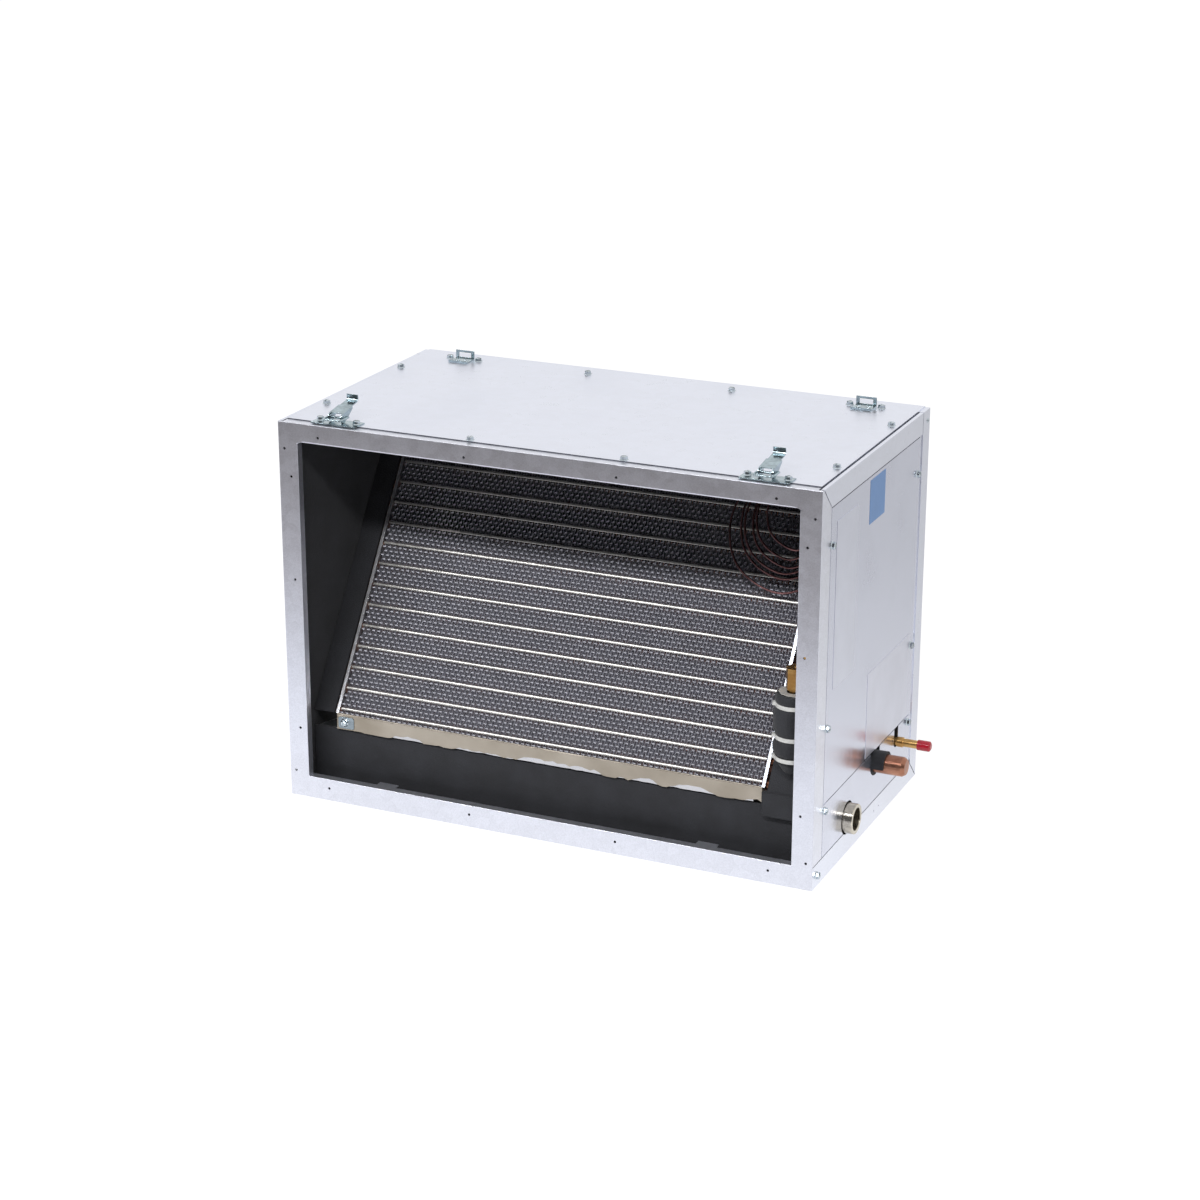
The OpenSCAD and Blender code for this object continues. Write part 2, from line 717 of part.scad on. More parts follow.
// The outline of one fin or end plate with its holes for the tubes
module slab_section() {
    difference() {
        translate([0, -slab_t]) square([slab_l, slab_t]);
        for (i = [0:tube_count - 1], r = [0:tube_rows - 1]) translate(tube_at(i, r))
            circle(r = tube_od / 2 + tube_gap, $fn = 32);
    }
}

module fin_pack() {
    gap = (fin_x1 - fin_x0 - fin_count * fin_t) / (fin_count + 1);
    color([0.80, 0.81, 0.82]) on_slab() for (k = [0:fin_count - 1]) {
        x = fin_x0 + gap + k * (fin_t + gap);
        along_x(x, x + fin_t) slab_section();
    }
}

// An end plate with its front and back flanges turned away from the fins
module end_plate(x, out) {
    on_slab() {
        along_x(x, x + end_plate_t) slab_section();
        for (z = [0, -slab_t - end_plate_t])
            block([min(x, x + out), 0, z], [max(x, x + out) + end_plate_t, slab_l, z + end_plate_t]);
    }
}

module left_end_plate() {
    color(galv) end_plate(plate_x0, -end_flange);
}

module right_end_plate() {
    color(galv) end_plate(fin_x1, end_flange);
}

// A tube wall's cross-section
module tube_ring() {
    difference() {
        circle(r = tube_od / 2, $fn = 32);
        circle(r = tube_od / 2 - tube_wall, $fn = 32);
    }
}

// A half-turn bend from tube i to tube i + 1 of row r; side is -1 at the left and 1 at the right
module u_bend(i, r, side) {
    a = tube_at(i, r);
    translate([side < 0 ? tube_x0 : tube_x1, a[0] + bend_r, a[1]]) rotate([0, 0, side < 0 ? 90 : -90])
        rotate_extrude(angle = 180) translate([bend_r, 0]) tube_ring();
}

module coil_tubes() {
    color(copper) on_slab() for (r = [0:tube_rows - 1], i = [0:tube_count - 1]) {
        a = tube_at(i, r);
        translate([tube_x0, a[0], a[1]]) rotate([0, 90, 0]) linear_extrude(tube_x1 - tube_x0) tube_ring();
        if (abs(i - tube_count / 2 + 0.5) < 1) translate([tube_x1, a[0], a[1]]) rotate([0, 90, 0]) difference() {
            cylinder(h = 7, r1 = tube_od / 2, r2 = cap_tube_od / 2 + 1);
            translate([0, 0, -cut]) cylinder(h = 7 + 2 * cut, r = cap_tube_od / 2 + tube_gap);
        }
    }
}

// Circuits: each half of a row is one circuit, so the bends skip the middle and the outer tubes
module tube_bends() {
    color(copper) on_slab() for (r = [0:tube_rows - 1]) {
        for (i = [0:2:tube_count - 2]) u_bend(i, r, -1);
        for (i = [1:2:tube_count - 3]) if (i != tube_count / 2 - 1) u_bend(i, r, 1);
    }
}

// Height of the pan's floor at a place across the cabinet
function pan_floor_z(x) = pan_low + pan_t + (pan_fall / 2) * (1 - x / pan_x);

// The slab's lower channel: web, apron at the front and two feet in the drain pan
module bottom_channel() {
    color([0.80, 0.77, 0.70]) {
        on_slab() block([plate_x0, -end_plate_t, -slab_t], [plate_x1, 0, 2 * end_plate_t]);
        block([plate_x0, apron_y - end_plate_t, apron_z], [plate_x1, apron_y, coil_front_z + 0.6]);
        for (s = [-1, 1]) {
            x = s < 0 ? plate_x0 + 20 : plate_x1 - 20;
            block([x - 12, foot_y - end_plate_t, pan_floor_z(x - 12 * s)], [x + 12, foot_y, foot_z + 0.4]);
        }
    }
}

module top_baffle() {
    top_y = coil_y + slab_l * cos(coil_tilt);
    back_y = top_y + slab_t * sin(coil_tilt);
    back_z = coil_front_z + slab_l * sin(coil_tilt) - slab_t * cos(coil_tilt);
    color(galv) {
        on_slab() block([plate_x0, slab_l, -slab_t], [plate_x1, slab_l + end_plate_t, 0]);
        block([-liner_x, back_y - end_plate_t, back_z], [liner_x, back_y, ceiling_z]);
    }
}

module left_baffle() {
    color(foam_black) on_slab() block([-liner_x, 0, -baffle_t], [plate_x0 - end_flange, slab_l, 0]);
}

module right_baffle() {
    color(foam_black) difference() {
        on_slab() difference() {
            block([plate_x1 + end_flange, -6, -baffle_t], [liner_x, slab_l, 0]);
            translate([cap_entry[0], cap_entry[1], -baffle_t - cut])
                cylinder(h = baffle_t + 2 * cut, r = cap_entry_r);
        }
        bar_y(liquid_x, valve_y, pan_y1, liquid_run_z, liquid_r + 1);
    }
    color(foam_black) block([plate_x1 + 1, pan_y0 - pan_foam_t - 7, apron_z - flap_drop],
        [liner_x, pan_y0 - pan_foam_t, coil_front_z - 2]);
}

module corner_clip() {
    color(zinc) difference() {
        block([plate_x0 + 2, apron_y - 2 * end_plate_t, coil_front_z - 16],
            [plate_x0 + 22, apron_y - end_plate_t, coil_front_z - 2]);
        bar_y(plate_x0 + 10, apron_y - 3 * end_plate_t, apron_y, coil_front_z - 9, screw_d / 2 + shank_gap);
    }
}

module corner_screw() {
    color(zinc) translate([plate_x0 + 10, apron_y - 2 * end_plate_t, coil_front_z - 9]) rotate([90, 0, 0]) {
        translate([0, 0, -end_plate_t]) cylinder(h = end_plate_t + washer_t, d = screw_d);
        cylinder(h = washer_t, d = washer_d);
        translate([0, 0, washer_t]) cylinder(h = hex_h, d = hex_af / cos(30), $fn = 6);
    }
}

// The pan's solid, from its sloping floor up to its walls, made thinner all round by a margin
module pan_body(margin) {
    x = pan_x - margin;
    intersection() {
        along_x(-x, x) polygon([[pan_y0 + margin, floor_z], [pan_y1 - margin, floor_z],
            [pan_y1 - margin, pan_back_top + cut * margin], [pan_y0 + margin, pan_top + cut * margin]]);
        translate([0, pan_y1, 0]) rotate([90, 0, 0]) linear_extrude(pan_len)
            polygon([[-x, pan_low + pan_fall + margin], [x, pan_low + margin], [x, pan_top + 2 * pan_t],
                [-x, pan_top + 2 * pan_t]]);
    }
}

module drain_pan() {
    color([0.55, 0.57, 0.58]) difference() {
        pan_body(0);
        pan_body(pan_t);
        bar_x(pan_x - 2 * pan_t, pan_x + cut, drain_y, drain_z, drain_bore / 2 + pan_hole_gap);
    }
}

module pan_foam() {
    color(foam_black) {
        block([-liner_x, pan_y0 - pan_foam_t, floor_z], [liner_x, pan_y0, pan_top + 1]);
        translate([0, pan_y1, 0]) rotate([90, 0, 0]) linear_extrude(pan_len)
            polygon([[-pan_x, floor_z], [pan_x, floor_z], [pan_x, pan_low], [-pan_x, pan_low + pan_fall]]);
    }
}

module drain_coupling() {
    color([0.60, 0.58, 0.52]) difference() {
        bar_x(pan_x, half_w + drain_out, drain_y, drain_z, drain_od / 2);
        bar_x(pan_x - cut, half_w + drain_out + cut, drain_y, drain_z, drain_bore / 2);
    }
}

// The header and its branches from the outer tubes of each row, with radius r and branch radius b
module header_path(r, b, trim) {
    reach = (suction_z - coil_front_z - header_depth * cos(coil_tilt)) / sin(coil_tilt);
    on_slab() {
        translate([header_x, reach, header_depth]) rotate([-90, 0, 0]) cylinder(h = slab_l - 6 - reach - trim, r = r);
        for (k = [0:tube_rows - 1], i = [0, tube_count - 1]) {
            a = tube_at(i, k);
            bar_x(tube_x1 - trim, header_x, a[0], a[1], b);
            translate([header_x, a[0], a[1]]) sphere(r = b);
            translate([header_x, a[0], min(a[1], header_depth)]) cylinder(h = abs(a[1] - header_depth), r = b);
        }
    }
}

module suction_header() {
    color(copper) difference() {
        header_path(header_r, tube_od / 2, 0);
        header_path(header_r - pipe_wall, tube_od / 2 - pipe_wall, pipe_wall);
        translate([header_x, header_y, suction_z]) sphere(r = suction_r + 0.02);
        bar_y(header_x, header_y, suction_y - suction_bend, suction_z, suction_r + 0.02);
    }
}

// The suction line's route with radius r, closed at its outer end by a wall
module suction_path(r, trim) {
    x_end = half_w + suction_out - trim;
    translate([header_x, header_y, suction_z]) sphere(r = r);
    bar_y(header_x, header_y, suction_y - suction_bend, suction_z, r);
    translate([header_x + suction_bend, suction_y - suction_bend, suction_z]) rotate([0, 0, 90])
        rotate_extrude(angle = 90) translate([suction_bend, 0]) circle(r = r);
    bar_x(header_x + suction_bend, x_end - 4, suction_y, suction_z, r);
    translate([x_end - 4, suction_y, suction_z]) rotate([0, 90, 0]) cylinder(h = 4, r1 = r, r2 = r - 2.5);
}

module suction_line() {
    color(copper) difference() {
        suction_path(suction_r, 0);
        suction_path(suction_r - pipe_wall, pipe_wall);
    }
}

module pipe_seal() {
    color(foam_black) difference() {
        bar_x(liner_x + 1, half_w + seal_out, suction_y, suction_z, seal_r);
        bar_x(liner_x, half_w + seal_out + cut, suction_y, suction_z, suction_r + 0.1);
        block([half_w + 1, suction_y - 2 * suction_r, suction_z - 2 * suction_r],
            [half_w + seal_out + cut, suction_y + 2 * suction_r, suction_z - 3]);
    }
}

// A quarter bend of the liquid line's inner run, in the XY plane about its centre
module liquid_quarter(r) {
    rotate_extrude(angle = 90) translate([liquid_bend, 0]) circle(r = r);
}

// The liquid line's route with radius r, run out past both ends by a length
module liquid_path(r, past) {
    y_turn = valve_y + liquid_bend;
    bar_x(liquid_x + liquid_bend, liquid_tip + past, liquid_y, liquid_z, r);
    translate([liquid_x + liquid_bend, liquid_y, liquid_z + liquid_bend]) rotate([90, 0, 0])
        rotate([0, 0, 180]) liquid_quarter(r);
    translate([liquid_x, liquid_y, liquid_z + liquid_bend])
        cylinder(h = liquid_run_z - liquid_z - 2 * liquid_bend, r = r);
    translate([liquid_x, liquid_y - liquid_bend, liquid_run_z - liquid_bend]) rotate([0, 90, 0])
        rotate([0, 0, 90]) liquid_quarter(r);
    bar_y(liquid_x, y_turn, liquid_y - liquid_bend, liquid_run_z, r);
    translate([liquid_x - liquid_bend, y_turn, liquid_run_z]) rotate([0, 0, -90]) liquid_quarter(r);
}

module liquid_line() {
    color(brass) difference() {
        union() {
            liquid_path(liquid_r, 0);
            bar_x(half_w + 2, half_w + 9, liquid_y, liquid_z, liquid_r + 1.1);
        }
        liquid_path(liquid_r - pipe_wall, cut);
    }
}

module liquid_cap() {
    color([0.75, 0.08, 0.12]) difference() {
        union() {
            bar_x(cap_x0, liquid_tip + cap_wall, liquid_y, liquid_z, cap_r);
            translate([liquid_tip + cap_wall, liquid_y, liquid_z]) rotate([0, 90, 0])
                cylinder(h = 1.6, r1 = cap_r, r2 = cap_r - 2.2);
        }
        bar_x(cap_x0 - cut, liquid_tip, liquid_y, liquid_z, cap_bore_r);
    }
}

// A round bar between two points
module bar(a, b, r) {
    d = b - a;
    translate(a) rotate([0, acos(d[2] / norm(d)), atan2(d[1], d[0])]) cylinder(h = norm(d), r = r);
}

module expansion_valve() {
    color(brass) {
        translate([valve_x, valve_y, valve_z0]) cylinder(h = wrap_z1 - 8 - valve_z0, r = valve_r);
        translate([valve_x, valve_y, valve_z0]) cylinder(h = hex_z0 - valve_z0 + cut, r = 6);
        bar_x(valve_x, liquid_x - liquid_bend, valve_y, liquid_run_z, liquid_r + 1.5);
        translate([valve_x, valve_y, hex_z0]) cylinder(h = hex_z1 - hex_z0, d = valve_hex_af / cos(30), $fn = 6);
        bar([valve_x, valve_y, hex_z1 - 5], [spreader_x, spreader_y, spreader_z0 + 3], 4);
        translate([spreader_x, spreader_y, spreader_z0]) cylinder(h = spreader_z1 - spreader_z0, r = spreader_r);
    }
}

// A world point in the slab's frame
function to_slab(p) = let (dy = p[1] - coil_y, dz = p[2] - coil_front_z)
    [p[0], dy * cos(coil_tilt) + dz * sin(coil_tilt), -dy * sin(coil_tilt) + dz * cos(coil_tilt)];

// A point on loop k at an angle, in the slab's frame
function loop_at(k, a, lift = 0) = let (q = loops[k])
    [q[0] + q[2] * cos(a), q[1] + q[2] * sin(a), q[3] + lift];

// Route of capillary k: out of the spreader, round its loop, through the baffle, to its tube
function cap_route(k) = let (
        a = 60 * k,
        out = to_slab([spreader_x + 4.6 * cos(a), spreader_y + 4.6 * sin(a), spreader_z1 + 0.7]),
        out2 = to_slab([spreader_x + 5.2 * cos(a), spreader_y + 5.2 * sin(a), spreader_z1 + 14]),
        way = [cap_entry[0] + 5.5 * cos(a + 30), cap_entry[1] + 5.5 * sin(a + 30)],
        t = tube_at(tube_count / 2 - (k % 2), floor(k / 2)))
    [out, out2, [fin_x1 + 38 - 3 * k, loops[k][1] - 0.72 * loops[k][2], loops[k][3] + 14],
     loop_at(k, -90), loop_at(k, -140), loop_at(k, 170),
     loop_at(k, 120), loop_at(k, 70), loop_at(k, 25), [way[0] - 2, way[1] + 24, 16],
     [way[0], way[1], 2], [way[0], way[1], -baffle_t - 4],
     [tube_x1 + 16, t[0], t[1]], [tube_x1 + 9, t[0], t[1]], [tube_x1 + 1, t[0], t[1]]];

// A smooth curve through a list of points, with n steps between each two
function smooth(p, n) = [
    for (i = [0:len(p) - 2], j = [0:n - 1]) let (
        t = j / n,
        a = p[max(i - 1, 0)], b = p[i], c = p[i + 1], d = p[min(i + 2, len(p) - 1)])
        0.5 * ((2 * b) + (c - a) * t + (2 * a - 5 * b + 4 * c - d) * t * t
            + (3 * b - a - 3 * c + d) * t * t * t),
    p[len(p) - 1]];

// Direction of a path at point i
function heading(p, i) = let (d = p[min(i + 1, len(p) - 1)] - p[max(i - 1, 0)]) d / norm(d);

// Frames carried along a path without twist
function carried(p, i, n) = let (
        h = heading(p, i),
        m = n - h * (n * h),
        u = m / norm(m))
    i >= len(p) - 1 ? [[u, cross(h, u)]] : concat([[u, cross(h, u)]], carried(p, i + 1, u));

// A round tube of radius r swept along path p with the given number of sides
module swept(p, r, sides) {
    f = carried(p, 0, [1, 0.2, 0.1]);
    n = len(p);
    rings = [for (i = [0:n - 1], k = [0:sides - 1])
        p[i] + r * (cos(360 * k / sides) * f[i][0] + sin(360 * k / sides) * f[i][1])];
    walls = [for (i = [0:n - 2], k = [0:sides - 1]) let (j = (k + 1) % sides)
        [i * sides + k, (i + 1) * sides + k, (i + 1) * sides + j, i * sides + j]];
    polyhedron(rings, concat([[for (k = [0:sides - 1]) k]], walls,
        [[for (k = [sides - 1:-1:0]) (n - 1) * sides + k]]));
}

module capillary_tubes() {
    color([0.45, 0.25, 0.20]) on_slab() for (k = [0:len(loops) - 1])
        swept(smooth(cap_route(k), 4), cap_tube_od / 2, 6);
}

module valve_wrap() {
    color(foam_black) difference() {
        union() {
            translate([valve_x, valve_y, wrap_z0 + 22]) cylinder(h = wrap_z1 - wrap_z0 - 22, r = wrap_r);
            translate([valve_x, valve_y, wrap_z0]) cylinder(h = 22, r1 = wrap_r * 0.55, r2 = wrap_r);
        }
        translate([valve_x, valve_y, valve_z0 - 0.3]) cylinder(h = wrap_z1 - valve_z0 + cut, r = valve_r + 0.3);
        block([valve_x, valve_y - liquid_r - 2, liquid_run_z - liquid_r - 2],
            [valve_x + wrap_r + cut, valve_y + wrap_r, liquid_run_z + liquid_r + 2]);
    }
}

module cable_ties() {
    color([0.92, 0.92, 0.90]) for (z = tie_z) translate([valve_x, valve_y, z]) {
        difference() {
            cylinder(h = tie_w, r = wrap_r + 1.3);
            translate([0, 0, -cut]) cylinder(h = tie_w + 2 * cut, r = wrap_r + 0.1);
            if (z < liquid_run_z + liquid_r + 1) block([wrap_r - 7, -wrap_r - 3, -cut], [wrap_r + 3, wrap_r + 3, tie_w + cut]);
        }
        rotate([0, 0, 200]) block([wrap_r + 0.6, -3, 0.4], [wrap_r + 4, 3, tie_w - 0.4]);
    }
}

// One latch's base: a plate with two screw holes and two cheeks for the lever's pin
module latch_base(x) {
    color(zinc) translate([x, 0, 0]) difference() {
        union() {
            block([-latch_base_l / 2, latch_base_y, cabinet_h],
                [latch_base_l / 2, latch_base_y + latch_base_d, cabinet_h + latch_t]);
            for (s = [-1, 1]) along_x(s < 0 ? -cheek_x - latch_t : cheek_x, s < 0 ? -cheek_x : cheek_x + latch_t) {
                translate([pivot_y, pivot_z]) circle(r = cheek_r);
                translate([pivot_y - cheek_foot, cabinet_h]) square([cheek_r + cheek_foot, pivot_h]);
            }
        }
        for (s = [-1, 1]) translate([s * latch_span / 2, front_row, cabinet_h - cut])
            cylinder(h = latch_t + 2 * cut, d = screw_d + 2 * shank_gap);
        bar_x(-cheek_x - 2 * latch_t, cheek_x + 2 * latch_t, pivot_y, pivot_z, pivot_d / 2);
    }
}

module left_latch_base() {
    latch_base(-latch_x);
}

module right_latch_base() {
    latch_base(latch_x);
}

// The riveted pivot pin through a latch's cheeks and lever
module latch_pin(x) {
    reach = lever_x + latch_t + 0.2;
    color(zinc) {
        bar_x(x - reach, x + reach, pivot_y, pivot_z, pivot_d / 2);
        for (s = [-1, 1]) bar_x(min(x + s * reach, x + s * (reach + 0.5)), max(x + s * reach, x + s * (reach + 0.5)),
            pivot_y, pivot_z, pivot_d / 2 + 0.9);
    }
}

module left_latch_pin() {
    latch_pin(-latch_x);
}

module right_latch_pin() {
    latch_pin(latch_x);
}

// Side flange of a lever about its pivot, in the YZ plane
module lever_flange() {
    difference() {
        union() {
            circle(r = lever_top + latch_t - 0.3);
            translate([bail_dy, bail_dz]) circle(r = wire_d / 2 + 1.6);
            polygon([[0, -3], [bail_dy + 1, -3.5], [lever_l * 0.55, lever_top - 1], [lever_l * 0.55, lever_top + 0.5],
                [0, lever_top + 0.5]]);
        }
        circle(r = pivot_d / 2 + run_gap);
        translate([bail_dy, bail_dz]) circle(r = wire_d / 2 + run_gap);
    }
}

// One lever: two side flanges, a top plate and a finger tab that curls up at its back end
module latch_lever(x) {
    curl = 3;
    outer = lever_x + latch_t;
    color(zinc) translate([x, pivot_y, pivot_z]) rotate([lever_rest, 0, 0]) {
        for (s = [-1, 1]) along_x(s < 0 ? -outer : lever_x, s < 0 ? -lever_x : outer) lever_flange();
        block([-outer, 0, lever_top], [outer, lever_l * 0.55, lever_top + latch_t]);
        block([-tab_w / 2, lever_l * 0.55 - cut, lever_top], [tab_w / 2, lever_l - curl - latch_t, lever_top + latch_t]);
        along_x(-tab_w / 2, tab_w / 2) {
            translate([lever_l - curl - latch_t, lever_top + latch_t + curl]) intersection() {
                difference() {
                    circle(r = curl + latch_t);
                    circle(r = curl);
                }
                translate([0, -curl - latch_t]) square([curl + latch_t, curl + latch_t]);
            }
            translate([lever_l - latch_t, lever_top + latch_t + curl]) square([latch_t, tab_h - curl - latch_t]);
        }
    }
}

module left_latch_lever() {
    latch_lever(-latch_x);
}

module right_latch_lever() {
    latch_lever(latch_x);
}

// Bail pivot of a resting lever
function bail_at() = [pivot_y + draw_r * cos(draw_angle + lever_rest), pivot_z + draw_r * sin(draw_angle + lever_rest)];

// One wire bail: a loop in front of the lever whose ends turn in through the lever's side flanges
module latch_bail(x) {
    r = wire_d / 2;
    c = 4;
    b = bail_at();
    front = b[0] - bail_l;
    color(zinc) translate([x, 0, b[1]]) {
        for (s = [-1, 1]) {
            bar_y(s * bail_x, front + c, b[0], 0, r);
            translate([s * bail_x, b[0], 0]) sphere(r = r);
            bar_x(s < 0 ? -bail_x : cheek_x + latch_t + 0.3, s < 0 ? -cheek_x - latch_t - 0.3 : bail_x, b[0], 0, r);
            translate([s * (bail_x - c), front + c, 0]) rotate([0, 0, s < 0 ? 180 : 270])
                rotate_extrude(angle = 90) translate([c, 0]) circle(r = r);
        }
        bar_x(-bail_x + c, bail_x - c, front, 0, r);
    }
}

module left_latch_bail() {
    latch_bail(-latch_x);
}

module right_latch_bail() {
    latch_bail(latch_x);
}

rivet_r = 1.6;
// Places of the keepers' rivets
function keeper_rivet_at() = [for (s = [-1, 1], k = [-1, 1]) [s * latch_x + k * keeper_w / 4, keeper_y1 - keeper_d / 2]];

// One keeper: a riveted base with a small front lip and an upright with a window for a bail
module keeper(x) {
    color(zinc) difference() {
        union() {
            block([x - keeper_w / 2, keeper_y1 - keeper_d, cabinet_h], [x + keeper_w / 2, keeper_y1, cabinet_h + latch_t]);
            block([x - keeper_w / 2, keeper_y1 - keeper_d, cabinet_h],
                [x + keeper_w / 2, keeper_y1 - keeper_d + latch_t, cabinet_h + 2.5]);
            block([x - keeper_w / 2, keeper_y1 - latch_t, cabinet_h], [x + keeper_w / 2, keeper_y1, cabinet_h + keeper_h]);
        }
        block([x - keeper_w / 2 + 4, keeper_y1 - 2 * latch_t, cabinet_h + latch_t + 1],
            [x + keeper_w / 2 - 4, keeper_y1 + cut, cabinet_h + keeper_h - 2.6]);
        for (p = keeper_rivet_at()) translate([p[0], p[1], cabinet_h - cut])
            cylinder(h = latch_t + 2 * cut, r = rivet_r + 0.1);
    }
}

module left_keeper() {
    keeper(-latch_x);
}

module right_keeper() {
    keeper(latch_x);
}

module keeper_rivets() {
    color(zinc) for (p = keeper_rivet_at()) translate([p[0], p[1], 0]) {
        translate([0, 0, lip_z - 1]) cylinder(h = cabinet_h + latch_t + 1 - lip_z, r = rivet_r);
        translate([0, 0, cabinet_h + latch_t]) cylinder(h = 1.2, r1 = rivet_r + 1.6, r2 = rivet_r);
    }
}

module frame_rivets() {
    color(zinc) for (s = [-1, 1]) translate([s * half_w, half_d - 7.5, cover_z - rail_h / 2]) rotate([0, s * 90, 0])
        cylinder(h = 1.2, r1 = rivet_r + 1.2, r2 = rivet_r);
}

base_tray();
tray_sides();
front_frame();
back_frame();
left_panel();
left_top_rail();
right_top_rail();
top_cover();
cover_screws();
access_panel();
access_liner();
access_screws();
rating_label();
square_label();
notice_label();
pipe_panel();
pipe_liner();
panel_screws();
left_liner();
top_liner();
bottom_liner();
fin_pack();
left_end_plate();
right_end_plate();
coil_tubes();
tube_bends();
bottom_channel();
top_baffle();
left_baffle();
right_baffle();
corner_clip();
corner_screw();
drain_pan();
pan_foam();
drain_coupling();
suction_header();
suction_line();
pipe_seal();
liquid_line();
liquid_cap();
expansion_valve();
capillary_tubes();
valve_wrap();
cable_ties();
left_latch_base();
right_latch_base();
left_latch_pin();
right_latch_pin();
left_latch_lever();
right_latch_lever();
left_latch_bail();
right_latch_bail();
left_keeper();
right_keeper();
keeper_rivets();
frame_rivets();
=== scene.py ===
import math

import bmesh
import bpy
from mathutils import Matrix, Vector, noise


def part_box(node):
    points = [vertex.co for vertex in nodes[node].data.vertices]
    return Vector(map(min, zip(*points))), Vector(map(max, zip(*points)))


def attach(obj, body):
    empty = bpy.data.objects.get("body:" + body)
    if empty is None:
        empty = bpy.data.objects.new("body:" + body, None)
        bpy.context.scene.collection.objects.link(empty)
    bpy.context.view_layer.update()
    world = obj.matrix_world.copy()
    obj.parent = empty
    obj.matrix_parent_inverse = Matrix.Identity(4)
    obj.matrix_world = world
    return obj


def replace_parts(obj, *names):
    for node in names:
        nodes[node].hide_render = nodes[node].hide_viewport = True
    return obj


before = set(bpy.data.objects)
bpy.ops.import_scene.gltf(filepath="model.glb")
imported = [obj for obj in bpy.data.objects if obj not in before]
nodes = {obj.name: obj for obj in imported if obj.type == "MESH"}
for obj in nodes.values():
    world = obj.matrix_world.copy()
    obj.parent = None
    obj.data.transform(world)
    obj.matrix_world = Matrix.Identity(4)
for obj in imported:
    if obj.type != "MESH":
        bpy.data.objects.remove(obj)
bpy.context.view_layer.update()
MM = 0.001


# The studio
# A pale room: one wide, low lamp stands in front and above, as the light falls on the coil,
# and the floor and the room send the rest. The camera looks from the front right, from above.

class Link:
    """One socket of a node tree, so that maths on it is written as an expression."""

    def __init__(self, tree, socket=None):
        self.tree = tree
        self.socket = socket

    def add(self, kind, settings=None, inputs=None, out=0):
        """Adds a node of a kind, with its settings and the values or links of its sockets."""
        node = self.tree.nodes.new(kind)
        for name, value in (settings or {}).items():
            if name == "stops":
                ramp = node.color_ramp.elements
                while len(ramp) < len(value):
                    ramp.new(0.5)
                for stop, (place, shade) in zip(ramp, value):
                    stop.position = place
                    stop.color = shade if isinstance(shade, tuple) else (shade, shade, shade, 1)
            else:
                setattr(node, name, value)
        for key, value in (inputs or {}).items():
            if isinstance(value, Link):
                self.tree.links.new(value.socket, node.inputs[key])
            else:
                node.inputs[key].default_value = value
        return Link(self.tree, node.outputs[out] if len(node.outputs) else None)

    def maths(self, operation, *values):
        return self.add("ShaderNodeMath", {"operation": operation}, dict(enumerate(values)))

    def __add__(self, other):
        return self.maths("ADD", self, other)

    def __mul__(self, other):
        return self.maths("MULTIPLY", self, other)

    def __sub__(self, other):
        return self.maths("SUBTRACT", self, other)

    def __rsub__(self, other):
        return self.maths("SUBTRACT", other, self)

    def __truediv__(self, other):
        return self.maths("DIVIDE", self, other)

    def __gt__(self, other):
        return self.maths("GREATER_THAN", self, other)

    def __lt__(self, other):
        return self.maths("LESS_THAN", self, other)

    __radd__ = __add__
    __rmul__ = __mul__

    def mix(self, first, second):
        """Two colours mixed by this mask."""
        return self.add("ShaderNodeMix", {"data_type": "RGBA"}, {0: self, 6: first, 7: second}, out=2)

    def ramp(self, low, high):
        """This value stretched so that low gives 0 and high gives 1, held between them."""
        return self.add("ShaderNodeMapRange", {}, {0: self, 1: low, 2: high})

    def speckle(self, scale, detail=2.0, stretch=(1, 1, 1)):
        """Soft noise over the piece at a scale, in waves per metre; this link is the place."""
        place = self.add("ShaderNodeMapping", {}, {"Vector": self, "Scale": stretch})
        return self.add("ShaderNodeTexNoise", {}, {"Vector": place, "Scale": scale, "Detail": detail})

    def cells(self, scale, out="Color"):
        """The crystals or pores of a surface, as cells at a scale per metre."""
        return self.add("ShaderNodeTexVoronoi", {}, {"Vector": self, "Scale": scale}, out=out)

    def axis(self, out):
        return self.add("ShaderNodeSeparateXYZ", {}, {0: self}, out=out)


def new_finish(name, metallic, roughness, **constants):
    """A material with its shader's constants set; gives back it, its shader and the place on it."""
    material = bpy.data.materials.new(name)
    material.use_nodes = True
    tree = material.node_tree
    shader = tree.nodes["Principled BSDF"]
    shader.inputs["Metallic"].default_value = metallic
    shader.inputs["Roughness"].default_value = roughness
    for socket, value in constants.items():
        shader.inputs[socket.replace("_", " ")].default_value = value
    place = Link(tree).add("ShaderNodeTexCoord", out="Object")
    return material, shader, place


def feed(shader, socket, link):
    shader.id_data.links.new(link.socket, shader.inputs[socket])


def relief(shader, height, depth):
    """Gives the surface small relief, with its depth in metres."""
    bump = height.add("ShaderNodeBump", {}, {"Height": height, "Distance": depth})
    feed(shader, "Normal", bump)


def shade(red, green, blue):
    """A colour as it looks on a screen, 0 to 255, in the shader's own values."""
    steps = [value / 255 for value in (red, green, blue)]
    return tuple(v / 12.92 if v <= 0.04045 else ((v + 0.055) / 1.055) ** 2.4 for v in steps) + (1,)


azimuth, elevation, roll = (math.radians(a) for a in (24.235, 19.357, 0.083))
look_back = Vector((math.sin(azimuth) * math.cos(elevation), -math.cos(azimuth) * math.cos(elevation),
                    math.sin(elevation)))
camera = bpy.data.objects.new("camera", bpy.data.cameras.new("camera"))
camera.data.lens = 83.554
camera.data.sensor_width = 36
camera.location = (1.21507, -2.71693, 1.27150)
level_turn = look_back.to_track_quat("Z", "Y")
camera.rotation_euler = (level_turn @ Matrix.Rotation(roll, 3, "Z").to_quaternion()).to_euler()
bpy.context.scene.collection.objects.link(camera)
bpy.context.scene.camera = camera


